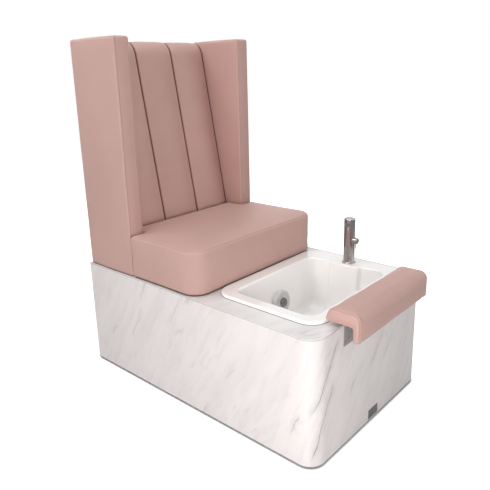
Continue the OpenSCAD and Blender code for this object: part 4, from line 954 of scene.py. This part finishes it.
def back_path():
    """Stations up a channel: place in Y and Z, lean from upright, and how full it is."""
    start = math.atan(ROLL_HIGH / ROLL_DEEP * math.tan(RECLINE))
    bend_z = ROLL_TOP_Z - ROLL_HIGH * (1 - math.sin(start))
    bend = np.array((LUMBAR_Y + (bend_z - SEAT_Z) * math.tan(RECLINE), bend_z))
    arc_y = bend[0] + ROLL_DEEP * math.cos(start)
    along = np.array((math.sin(RECLINE), math.cos(RECLINE)))
    long = (bend[1] - FOOT_Z) / along[1]
    out = []
    for t in spaced(long, [], coarse=9 * MM) / long:
        out.append((bend - along * long * (1 - t), RECLINE, math.sqrt(min(1.0, t / FADE_SHARE))))
    for t in steps(25):
        turn = start + (math.pi / 2 - start) * t
        spot = (arc_y - ROLL_DEEP * math.cos(turn), ROLL_TOP_Z - ROLL_HIGH * (1 - math.sin(turn)))
        lean = math.atan2(ROLL_DEEP * math.sin(turn), ROLL_HIGH * math.cos(turn))
        out.append((np.array(spot), lean, 1 - (1 - END_SHARE) * ease(t)))
    for t in steps(3):
        out.append((np.array((arc_y + (COVER_FRONT - arc_y) * t, ROLL_TOP_Z)), math.pi / 2, END_SHARE))
    return out


def make_channel(name, node, x, seed):
    """One channel of the back: rings round its section, from its hidden foot up and over its roll."""
    half = PAD_WIDTH / 2 - SOFT_GAP
    u = np.sin(np.linspace(-math.pi / 2, math.pi / 2, PAD_FRONT_POINTS))
    behind = np.full(PAD_BACK_POINTS, -PAD_T)
    side = np.array((-PAD_T / 3, -2 * PAD_T / 3))
    depth = np.concatenate((PAD_SEAM_R * np.sqrt(1 - np.abs(u) ** 10), side, behind, side[::-1]))
    hidden = len(depth) - len(u)
    crown = np.concatenate((PAD_CROWN * (1 - u ** 2), np.zeros(hidden)))
    sides = np.concatenate((u, [1, 1], np.linspace(1, -1, PAD_BACK_POINTS), [-1, -1])) * half
    front = np.concatenate((np.ones(len(u)), np.zeros(hidden)))
    rows = []
    for spot, lean, full in back_path():
        out = np.array((-math.cos(lean), math.sin(lean)))
        crowned = full * max(0.0, CROWN_GAIN_SHARE * full - (CROWN_GAIN_SHARE - 1))
        reach = np.where(front > 0, depth * full, depth) + crown * crowned
        rows.append(np.column_stack((x + sides, spot + out * reach[:, None])))
    foot, top = [np.tile(row.mean(0), (len(sides), 1)) for row in (rows[0], rows[-1])]
    rows = [foot, (rows[0] + foot) / 2] + rows + [(rows[-1] + top) / 2, top]
    away = np.where(front > 0, half * (1 - np.abs(np.concatenate((u, np.ones(hidden))))), 0.0)
    distance = np.tile(away, len(rows))
    heights = np.concatenate(rows)[:, 2]
    held = np.maximum.reduce([fade(distance, PAD_HELD_REACH), 1 - np.tile(front, len(rows)),
                              fade(heights - FOOT_Z, PAD_FOOT_HELD_REACH)])
    verts, faces, _ = sewn_skin(rows, distance, held, seed, limit=4 * MM, voxel=8.5 * MM, pressure=3.0,
                                dip=0.0)
    verts[:, 0] = np.clip(verts[:, 0], x - half, x + half)
    sewn_piece(name, verts, faces, distance * PAD_SEAM_SHADE_SHARE, pink_channel, "chair", [node])


# Wings

WING_EDGE_R = 11 * MM
WING_CORNER_R, WING_LEAST_R = 8 * MM, 2 * MM
WING_SWELL = 2 * MM
WING_SEAM_IN = 10.5 * MM
WING_FOOT_IN, WING_FOOT_HIGH, WING_FOOT_R = 2 * MM, 20 * MM, 30 * MM
WING_TOP_FINE = 6 * MM
WING_STRIP_DEEP = 6 * MM
WING_TOP_LIFT = 1.2 * MM
WING_SPINE_IN = 30 * MM
WING_SEAM_DEEP = 14 * MM
WING_HELD_REACH, WING_HELD_EDGE, WING_HELD_BACK = 12 * MM, 20 * MM, 12 * MM
WING_EDGE_HELD_SHARE = 0.6
WING_SIDE_POINTS = (30, 6, 30)
WING_STITCH_LOW, WING_STITCH_HIGH = 3, 8


def wing_outline(inset, strip, swell):
    """The wing's section, drawn in by inset, with swelling sides and its front strip's points at strip."""
    x0, y0 = WING_INNER_X + WING_SWELL + inset, WING_FRONT + WING_SWELL + inset
    x1, y1 = WING_X - WING_SWELL - inset, WING_BACK - WING_SWELL - inset
    radii = [max(WING_CORNER_R - inset, WING_LEAST_R)] * 4
    points = [(x0, y0), (x1, y0), (x1, y1), (x0, y1)]
    return rounded(points, radii, [strip, *WING_SIDE_POINTS], -swell, arc=9)


def wing_spine(ring):
    """The line in the wing's top and foot that its rings close up to."""
    middle_y = np.clip(ring[:, 1], WING_FRONT + WING_SPINE_IN, WING_BACK - WING_SPINE_IN)
    return level(np.column_stack((np.full(len(ring), (WING_X + WING_INNER_X) / 2), middle_y)), ring[0, 2])


def make_wing(name, node, side, seed):
    foot, stitch_in = DECK_Z + SOFT_GAP, WING_SEAM_IN + SEAM_STITCH
    line = path([(WING_FOOT_IN, foot), (0, foot + WING_FOOT_HIGH), (0, CHAIR_H), (3 * WING_EDGE_R, CHAIR_H)],
                [WING_FOOT_R, WING_EDGE_R])[:-1]
    total = reaches(line)[-1]
    stations = at_reach(line, spaced(total, [total - WING_TOP_FINE], 1.5 * MM, 9 * MM))
    corner_in = WING_SWELL + WING_CORNER_R
    flat = WING_X - WING_INNER_X - 2 * corner_in
    marks = [WING_SEAM_IN - corner_in, stitch_in - corner_in]
    strip = spaced(flat, marks + [flat - mark for mark in marks], 0.8 * MM, 5 * MM)[1:-1] / flat
    inset, z = stations[0]
    first = level(wing_outline(inset, strip, WING_SWELL / 2), z)
    rows = rings_towards(first, wing_spine(first), (1.0, 0.5))
    rows += [level(wing_outline(inset, strip, WING_SWELL), z) for inset, z in stations]
    last = rows[-1]
    rows += rings_towards(last, wing_spine(last), steps(6),
                          lambda share: WING_TOP_LIFT * math.sin(share * math.pi / 2))
    verts = np.concatenate(rows)
    inner, outer = WING_INNER_X + WING_SEAM_IN, WING_X - WING_SEAM_IN
    seams = np.minimum(np.abs(verts[:, 0] - inner), np.abs(outer - verts[:, 0]))
    distance = np.where(verts[:, 1] < WING_FRONT + WING_SEAM_DEEP, seams, NO_SEAM)
    from_front, from_back = verts[:, 1] - WING_FRONT, WING_BACK - verts[:, 1]
    inside = ease(from_front / WING_HELD_EDGE - 1) * ease(from_back / WING_HELD_EDGE - 1)
    held = np.maximum.reduce([fade(distance, WING_HELD_REACH), verts[:, 2] < DECK_Z + WING_HELD_EDGE,
                              WING_EDGE_HELD_SHARE * (1 - inside), from_back < WING_HELD_BACK])
    verts, faces, normals = sewn_skin(rows, distance, held, seed, limit=3 * MM, voxel=12 * MM, pressure=2.5,
                                      spare=2 * MM)
    verts[:, 0] = np.maximum(verts[:, 0], WING_INNER_X)
    flip = np.array((side, 1, 1))
    n, middle = len(last), rows[len(rows) // 2]
    runs = []
    for at in (WING_INNER_X + stitch_in, WING_X - stitch_in):
        beside = np.where(middle[:, 1] < WING_FRONT + WING_STRIP_DEEP, np.abs(middle[:, 0] - at), NO_SEAM)
        up = slice(int(np.argmin(beside)) + n * WING_STITCH_LOW, (len(rows) - WING_STITCH_HIGH) * n, n)
        runs.append((verts[up] * flip, normals[up] * flip))
    sewn_piece(name, verts * flip, faces, distance, pink, "chair", [node])
    stitches(name + "_stitches", runs, thread, "chair")


# Panel that closes the chair's back

REAR_HALF = WING_INNER_X + 1.5 * MM
REAR_MIDDLE_Z = (DECK_Z + PATH_END_Z) / 2
REAR_CORNER_R, REAR_LEAST_R, REAR_EDGE_R = 5 * MM, 1.5 * MM, 3 * MM
REAR_FOLD, REAR_FACE_IN, REAR_SEAM_IN = 3 * MM, 40 * MM, 22 * MM
REAR_EDGE_DROP, REAR_PUFF = 1 * MM, 0.4 * MM
REAR_SIDE_POINTS = (60, 90, 60, 90)
REAR_SEAM_DEPTH, REAR_SLACK, REAR_SLACK_WAVE = 0.8 * MM, 0.1 * MM, 130 * MM


def rear_ring(inset, y, share=1.0):
    """The panel's outline, stood up at y, drawn in by inset and then closed up to a share of itself."""
    w, low, high = REAR_HALF - inset, DECK_Z + inset, PATH_END_Z - inset
    radii = [max(REAR_CORNER_R - inset, REAR_LEAST_R)] * 4
    ring = rounded([(-w, low), (w, low), (w, high), (-w, high)], radii, REAR_SIDE_POINTS, arc=5)
    heights = REAR_MIDDLE_Z + (ring[:, 1] - REAR_MIDDLE_Z) * share
    return np.column_stack((ring[:, 0] * share, np.full(len(ring), y), heights))


def make_rear():
    y0, y1 = COVER_FRONT + SOFT_GAP, WING_BACK
    line = path([(REAR_FOLD, y0), (0, y0), (0, y1 - REAR_EDGE_DROP), (REAR_FACE_IN, y1 - REAR_PUFF)],
                [0, REAR_EDGE_R], 8)
    total = reaches(line)[-1]
    seam = total - REAR_SEAM_IN
    places = spaced(total, [seam], coarse=7 * MM)
    rows = [rear_ring(inset, y) for inset, y in at_reach(line, places)]
    closing = steps(11)
    rows += [rear_ring(REAR_FACE_IN, y1 - REAR_PUFF * (1 - t), 1 - t) for t in closing]
    rows = [rows[0] * np.array((0, 1, 0)) + np.array((0, 0, REAR_MIDDLE_Z))] + rows
    away = [NO_SEAM] + list(np.abs(places - seam)) + [NO_SEAM] * len(closing)
    distance = np.repeat(away, len(rows[0]))
    verts, faces = skin(rows)
    pull = seam_dip(distance, REAR_SEAM_DEPTH) + REAR_SLACK * ripple(verts, REAR_SLACK_WAVE, 5.0)
    verts = verts - vertex_normals(verts, faces) * pull[:, None]
    verts[:, 1] = np.clip(verts[:, 1], y0, y1)
    sewn_piece("rear_upholstery", verts, faces, distance, pink, "chair", ["rear_cover"])


# Footrest

REST_HALF = 250 * MM
REST_FRONT, REST_REAR = -639.5 * MM, -508.5 * MM
REST_INNER = -613.5 * MM
REST_Z, REST_TOP, FLAP_Z = 483.5 * MM, 533.5 * MM, 433.5 * MM
REST_LEAN = 18 * MM
REST_CROWN, REST_CROWN_Z = 4 * MM, REST_Z + 20 * MM
REST_TOP_R, REST_FAR_R, REST_FOOT_R, REST_LEAST_R = 27 * MM, 26 * MM, 10 * MM, 1 * MM
REST_LIP = 14 * MM
REST_END_R = 11 * MM
REST_END = ((11.4 * MM, 1.5 * MM), (12.0 * MM, 2.0 * MM))
REST_END_LONG = 60 * MM
REST_BOARD_TOP = 495.8 * MM
REST_BOARD_X, REST_BOARD_REAR = 238.3 * MM, -520.2 * MM
REST_FILLET, FILLET_SHARE = 10 * MM, 0.42
# Points round the outer side, and straight stretches round the board's recess
REST_POINTS, REST_RECESS_STEPS = 96, (2, 10, 2)
REST_SEAM_SHARE = 0.45
REST_STITCH_IN = 5 * MM
REST_STEP, REST_BOARD_CLEAR = 0.01 * MM, 0.4 * MM
REST_HELD_REACH, REST_STAPLED = 7 * MM, 1 * MM
REST_STITCH_FROM, REST_STITCH_TO = 8, 90


def rest_outline(inset, recess):
    """The footrest's L in Y and Z, drawn in by inset, with or without the recess for its board."""
    y0, y1, y2 = REST_FRONT + inset, REST_INNER - inset, REST_REAR - inset
    z0, z1, z2 = FLAP_Z + inset, REST_Z + inset, REST_TOP - inset
    lean = REST_LEAN * inset / (REST_TOP - REST_Z)
    y3 = y2 - REST_LEAN + lean
    foot, top, far = max(REST_FOOT_R - inset, REST_LEAST_R), REST_TOP_R - inset, REST_FAR_R - inset
    fillet = 0 if recess else REST_FILLET
    lip = (y2 - REST_LIP, z1)
    outer = path([(y1, z1 - fillet), (y1, z0), (y0, z0), (y0, z2), (y3, z2), (y2 - lean, z1), lip],
                 [foot, foot, top, far, foot], 9)
    top_from, top_to = y0 + top, y3 - far
    share = np.clip((outer[:, 0] - top_from) / (top_to - top_from), 0, 1)
    lift = REST_CROWN * np.sin(math.pi * share) * (outer[:, 1] > REST_CROWN_Z)
    raised = np.column_stack((outer[:, 0], outer[:, 1] + lift))
    outer = at_reach(raised, np.linspace(0, 1, REST_POINTS) * reaches(outer)[-1])
    if recess:
        front, rear = REST_INNER - SOFT_GAP, REST_BOARD_REAR
        under = [(rear, z1), (rear, REST_BOARD_TOP), (front, REST_BOARD_TOP), (front, z1)]
    else:
        bend = (y1 - FILLET_SHARE * fillet, z1 - (1 - FILLET_SHARE) * fillet)
        under = [lip, lip, (y1 + fillet, z1), bend]
    under = np.array(under)
    inner = [under[k] + (under[k + 1] - under[k]) * np.linspace(0, 1, m + 1)[:-1, None]
             for k, m in enumerate(REST_RECESS_STEPS)]
    return np.concatenate([outer] + inner)


def make_footrest():
    start = REST_HALF - REST_END_LONG
    line = path([(start, 0), (REST_HALF, 0), (REST_HALF, 3 * REST_END_R)], [REST_END_R], 12)[:-1]
    seam = reaches(line)[-1] - REST_END_R * math.pi / 2 * REST_SEAM_SHARE
    stitch = seam - REST_STITCH_IN
    board = REST_BOARD_X - start
    places = spaced(reaches(line)[-1], [seam, stitch])
    places = np.sort(np.append(places[np.abs(places - board) > REST_BOARD_CLEAR], board))
    ends, away = [], []
    for s, (x, inset) in zip(places, at_reach(line, places)):
        ends.append((x, inset, s <= board))
        away.append(abs(s - seam))
        if s == board:
            ends.append((x + REST_STEP, inset, False))
            away.append(abs(s - seam))
    middle = [(x, 0.0, True) for x in np.linspace(-start, start, 42)[1:-1]]
    stations = [(-x, inset, recess) for x, inset, recess in ends[::-1]] + middle + ends
    rows = [across(rest_outline(inset, recess), x) for x, inset, recess in stations]
    closing = [(inset, REST_HALF + puff) for inset, puff in REST_END]
    rows = ([across(rest_outline(inset, False), -x) for inset, x in closing[::-1]] + rows
            + [across(rest_outline(inset, False), x) for inset, x in closing])
    away = [NO_SEAM] * len(closing) + away[::-1] + [NO_SEAM] * len(middle) + away + [NO_SEAM] * len(closing)
    n = len(rows[0])
    caps = [tuple(range(n))[::-1], tuple(range((len(rows) - 1) * n, len(rows) * n))]
    distance = np.repeat(away, n)
    verts = np.concatenate(rows)
    stapled = (verts[:, 2] < REST_BOARD_TOP + REST_STAPLED) * (verts[:, 1] > REST_INNER - REST_STAPLED)
    held = np.maximum(fade(distance, REST_HELD_REACH), stapled)
    verts, faces, normals = sewn_skin(rows, distance, held, seed=4.0, limit=4 * MM, voxel=7 * MM, caps=caps)
    sewn_piece("footrest_cover", verts, faces, distance, pink, "footrest", ["footrest_pad"], caps)
    stitch_x = at_reach(line, np.array([stitch]))[0][0]
    runs = []
    for sign in (-1, 1):
        k = int(np.argmin([abs(row[0, 0] - sign * stitch_x) for row in rows]))
        around = np.arange(k * n + REST_STITCH_FROM, k * n + REST_STITCH_TO)
        runs.append((verts[around], normals[around]))
    stitches("footrest_stitches", runs, thread, "footrest")


# Basin

RIM_LEFT, RIM_RIGHT, RIM_FRONT, RIM_REAR = -298 * MM, 345 * MM, -511.5 * MM, -51.5 * MM
RIM_Z, RIM_T, RIM_EDGE_R = 482 * MM, 10 * MM, 6 * MM
RIM_FRONT_R, RIM_REAR_R = 68 * MM, 70 * MM
BOWL_LEFT, BOWL_RIGHT, BOWL_FRONT, BOWL_REAR = -250 * MM, 268 * MM, -463.5 * MM, -113.5 * MM
BOWL_FLARE, TAP_FLARE = 4 * MM, 28 * MM
BOWL_R, BOWL_LEAST_R, LIP_R, FLOOR_R = 42 * MM, 6 * MM, 7 * MM, 44 * MM
WALL_LEAN, SHELL = 16 * MM, 8 * MM
FLOOR_Z = 262 * MM
DRAIN = np.array((9 * MM, -288.5 * MM))
DRAIN_R = 23.4 * MM
TAP_AT = (284 * MM, -281.5 * MM)
TAP_HOLE_R = 16 * MM
LEDGE_HALF, LEDGE_OUT, LEDGE_R, CREASE = 65 * MM, 6 * MM, 6 * MM, 8 * MM
JET_AT = Vector((9 * MM, -124.96 * MM, 354 * MM))
JET_AXIS = Vector((0, 0.995548, -0.094253))
JET_HOLE_R = 28.2 * MM
BOWL_SIDE_POINTS, RIM_SIDE_POINTS = (34, 8, 3, 12, 1, 8, 30, 24), (160, 160, 160, 160)
DRILL_LONG, DRILL_SIDES = 60 * MM, 64
BOWL_SHARP_ANGLE = math.radians(55)


def bowl_outline(d):
    """The bowl's mouth, drawn in by d, with the ledge that carries the tap."""
    left, front, rear = BOWL_LEFT + d, BOWL_FRONT + d, BOWL_REAR - d
    side = lambda y: BOWL_RIGHT - TAP_FLARE * (y - BOWL_FRONT) / (BOWL_REAR - BOWL_FRONT) - d
    low, high = TAP_AT[1] - LEDGE_HALF, TAP_AT[1] + LEDGE_HALF
    ledge = side(high) - LEDGE_OUT
    points = [(left, front), (side(BOWL_FRONT), front), (side(low - CREASE), low - CREASE), (ledge, low),
              (ledge, high), (side(high + CREASE), high + CREASE), (side(BOWL_REAR), rear),
              (left + BOWL_FLARE, rear)]
    r, s = max(BOWL_R - d / 2, BOWL_LEAST_R), LEDGE_R
    return rounded(points, [r, r, 2 * s, s, s, s / 2, r, r], BOWL_SIDE_POINTS, arc=12)


def by_angle(ring, target):
    """The points of a closed outline that lie in the same directions from the drain as ring's points."""
    angle = lambda p: np.arctan2(p[:, 1] - DRAIN[1], p[:, 0] - DRAIN[0])
    wanted, given = angle(ring), angle(target)
    order = np.argsort(given)
    given, far = given[order], np.linalg.norm(target - DRAIN, axis=1)[order]
    given = np.concatenate((given[-1:] - 2 * math.pi, given, given[:1] + 2 * math.pi))
    far = np.concatenate((far[-1:], far, far[:1]))
    reach = np.interp(wanted, given, far)
    return DRAIN + np.stack((np.cos(wanted), np.sin(wanted)), 1) * reach[:, None]


def rim_outline(inset):
    front, rear = RIM_FRONT_R - inset, RIM_REAR_R - inset
    x0, x1, y0, y1 = RIM_LEFT + inset, RIM_RIGHT - inset, RIM_FRONT + inset, RIM_REAR - inset
    points = [(x0, y0), (x1, y0), (x1, y1), (x0, y1)]
    return rounded(points, [front, front, rear, rear], RIM_SIDE_POINTS, arc=48)


def drill(piece, at, axis, radius):
    """Cuts a round hole through piece."""
    bit = bmesh.new()
    bmesh.ops.create_cone(bit, cap_ends=True, segments=DRILL_SIDES, radius1=radius, radius2=radius,
                          depth=DRILL_LONG)
    mesh = bpy.data.meshes.new("bit")
    bit.to_mesh(mesh)
    bit.free()
    tool = bpy.data.objects.new("bit", mesh)
    bpy.context.scene.collection.objects.link(tool)
    tool.matrix_world = Matrix.Translation(at) @ Vector(axis).to_track_quat("Z", "Y").to_matrix().to_4x4()
    cut = piece.modifiers.new("hole", "BOOLEAN")
    cut.operation = "DIFFERENCE"
    cut.solver = "EXACT"
    cut.object = tool
    bpy.context.view_layer.update()
    done = bpy.data.meshes.new_from_object(piece.evaluated_get(bpy.context.evaluated_depsgraph_get()))
    piece.modifiers.clear()
    piece.data = done
    bpy.data.objects.remove(tool)


def basin_rows():
    """Rings from the drain up the bowl's inside, over the rim, and back down its outside to the drain."""
    wall_foot, under_z = FLOOR_Z + FLOOR_R, RIM_Z - RIM_T
    rows = []
    ring_at = lambda inset, z: rows.append(level(bowl_outline(inset), z))
    floor = bowl_outline(WALL_LEAN + FLOOR_R)
    turns = np.arctan2(floor[:, 1] - DRAIN[1], floor[:, 0] - DRAIN[0])
    drain = DRAIN + DRAIN_R * np.stack((np.cos(turns), np.sin(turns)), 1)
    for t in np.linspace(0, 1, 12)[:-1]:
        rows.append(level(drain + (floor - drain) * t, FLOOR_Z))
    for a in np.linspace(math.pi / 2, 0, 14):
        ring_at(WALL_LEAN + FLOOR_R * (1 - math.cos(a)), FLOOR_Z + FLOOR_R * (1 - math.sin(a)))
    for t in steps(17):
        ring_at(WALL_LEAN * (1 - t), wall_foot + (RIM_Z - LIP_R - wall_foot) * t)
    for a in quarter(10):
        ring_at(-LIP_R * (1 - math.sin(a)), RIM_Z - LIP_R * (1 - math.cos(a)))
    lip = rows[-1][:, :2]
    shoulder = by_angle(lip, rim_outline(RIM_EDGE_R))
    for t in steps(8):
        rows.append(level(lip + (shoulder - lip) * t, RIM_Z))
    for a in quarter(8):
        edge = by_angle(lip, rim_outline(RIM_EDGE_R * (1 - math.cos(a))))
        rows.append(level(edge, RIM_Z - RIM_EDGE_R * (1 - math.sin(a))))
    foot, under = by_angle(lip, rim_outline(0)), bowl_outline(-SHELL)
    for t in (0, 0.5, 1):
        rows.append(level(foot + (under - foot) * t, under_z))
    for t in steps(7):
        ring_at(-SHELL + WALL_LEAN * t, under_z + (wall_foot - under_z) * t)
    outer_r = FLOOR_R + SHELL
    for a in np.linspace(0, math.pi / 2, 9)[1:]:
        ring_at(WALL_LEAN + FLOOR_R - outer_r * math.cos(a), wall_foot - outer_r * math.sin(a))
    low = rows[-1][:, :2]
    for t in (0.5, 1.0):
        rows.append(level(low + (drain - low) * t, FLOOR_Z - SHELL))
    return rows


def make_basin():
    mesh = raw_mesh("basin_bowl", *skin(basin_rows(), closed=True))
    tidy_mesh(mesh)
    piece = place("basin_bowl", mesh, glaze, None)
    drill(piece, JET_AT, JET_AXIS, JET_HOLE_R)
    drill(piece, Vector((*TAP_AT, RIM_Z)), (0, 0, 1), TAP_HOLE_R)
    piece.data.name = "basin_bowl"
    piece.data.set_sharp_from_angle(angle=BOWL_SHARP_ANGLE)
    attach(piece, "chair")
    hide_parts("basin")


# Handset hose, built straight at rest; the real one lengthens as the handset is pulled

HOSE_AT = (279 * MM, -285.5 * MM)
HOSE_R = 4.5 * MM
HOSE_LOW, HOSE_HIGH = 330 * MM, 586 * MM
HOSE_SHARP_ANGLE = math.radians(50)
HOSE_SIDES, HOSE_RINGS = 24, 90


def make_handset_hose():
    turns = np.linspace(0, 2 * math.pi, HOSE_SIDES + 1)[:-1]
    ring = np.stack((HOSE_AT[0] + HOSE_R * np.cos(turns), HOSE_AT[1] + HOSE_R * np.sin(turns)), 1)
    heights = np.linspace(HOSE_LOW, HOSE_HIGH, HOSE_RINGS)
    centre = np.tile(np.array(HOSE_AT), (len(ring), 1))
    rows = [level(centre, heights[0])] + [level(ring, z) for z in heights] + [level(centre, heights[-1])]
    mesh = raw_mesh("handset_hose_sleeve", *skin(rows))
    tidy_mesh(mesh)
    piece = place("handset_hose_sleeve", mesh, steel_braid, None, "braided_steel")
    piece.data.set_sharp_from_angle(angle=HOSE_SHARP_ANGLE)
    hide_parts("handset_hose")
    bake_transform(piece)


make_seat()
make_channel("back_channel_left", "back_pad_left", PAD_WIDTH, 1.3)
make_channel("back_channel_centre", "back_pad_centre", 0.0, 2.6)
make_channel("back_channel_right", "back_pad_right", -PAD_WIDTH, 3.9)
make_wing("wing_upholstery_left", "wing_cover_left", 1, 0.7)
make_wing("wing_upholstery_right", "wing_cover_right", -1, 2.2)
make_rear()
make_footrest()
make_basin()
make_handset_hose()


# Stage, lights and background

FLOOR_HALF = 6.0
FLOOR_GREY = (0.72, 0.72, 0.72, 1.0)
FLOOR_PAINTED_SHADE_REACH = 14 * MM
FLOOR_GLOW, GLOW_NEAR, GLOW_FAR = 0.75, 0.8, 1.9
AMBIENT = 0.15
WHITE = (1.0, 1.0, 1.0, 1.0)
# Name, place, target, side, watts, and whether it shows as a reflection
LAMPS = (
    ("side", (-3.0, -0.2, 1.6), (0.0, 0.0, 0.7), 1.6, 24, True),
    ("low", (-1.5, -1.5, 0.7), (0.0, -0.3, 0.4), 0.8, 17, True),
    ("front", (1.8, -2.6, 2.2), (0.0, 0.0, 0.7), 1.6, 18, True),
    ("top", (0.0, -0.2, 3.6), (0.0, 0.0, 0.5), 2.6, 38, True),
    ("back", (-1.5, 1.2, 3.0), (0.0, 0.0, 0.6), 1.6, 24, True),
    ("rear", (2.4, 2.4, 1.5), (0.0, 0.0, 0.7), 1.8, 42, False),
)


def make_floor():
    """A floor that looks white, with the chair's shadow, and painted shade where the chair stands on it."""
    r = FLOOR_HALF
    mesh = raw_mesh("floor", [(-r, -r, 0), (r, -r, 0), (r, r, 0), (-r, r, 0)], [(0, 1, 2, 3)])
    floor = bpy.data.objects.new("floor", mesh)
    bpy.context.scene.collection.objects.link(floor)
    material, w, shader, place = new_material(
        "floor", Base_Color=FLOOR_GREY, Roughness=0.9, Emission_Color=WHITE, Specular_IOR_Level=0.0)
    # Painted shade: the glow fades where the chair is near the floor
    unshaded = w.ramp(w.openness(FLOOR_PAINTED_SHADE_REACH), 0.5, 0.85)
    far = w.ramp(w.vector("LENGTH", place), GLOW_NEAR, GLOW_FAR, FLOOR_GLOW, 1.0)
    seen = w.add("ShaderNodeLightPath").outputs["Is Camera Ray"]
    w.put(shader.inputs["Emission Strength"], w.math("MULTIPLY", seen, w.math("MULTIPLY", unshaded, far)))
    mesh.materials.append(material)


def make_world():
    """White to look at and in reflections, but only a weak light on the chair."""
    world = bpy.data.worlds.new("studio")
    bpy.context.scene.world = world
    world.use_nodes = True
    tree = world.node_tree
    tree.nodes.clear()
    w = Wires(tree)
    rays = w.add("ShaderNodeLightPath").outputs
    seen = w.math("ADD", rays["Is Camera Ray"], rays["Is Transmission Ray"])
    seen = w.math("ADD", seen, rays["Is Glossy Ray"], clamp=True)
    strength = w.ramp(seen, 0.0, 1.0, AMBIENT, 1.0, smooth=False)
    light = w.add("ShaderNodeBackground", {"Color": WHITE, "Strength": strength})
    w.put(w.add("ShaderNodeOutputWorld").inputs["Surface"], light.outputs[0])


def make_lamps():
    for name, at, target, side, watts, mirrored in LAMPS:
        data = bpy.data.lights.new(name, "AREA")
        data.shape = "RECTANGLE"
        data.size = data.size_y = side
        data.energy = watts
        lamp = bpy.data.objects.new(name, data)
        bpy.context.scene.collection.objects.link(lamp)
        lamp.visible_glossy = mirrored
        lamp.location = at
        lamp.rotation_euler = (Vector(target) - Vector(at)).to_track_quat("-Z", "Y").to_euler()


make_floor()
make_world()
make_lamps()
bpy.context.scene.view_settings.view_transform = "Standard"
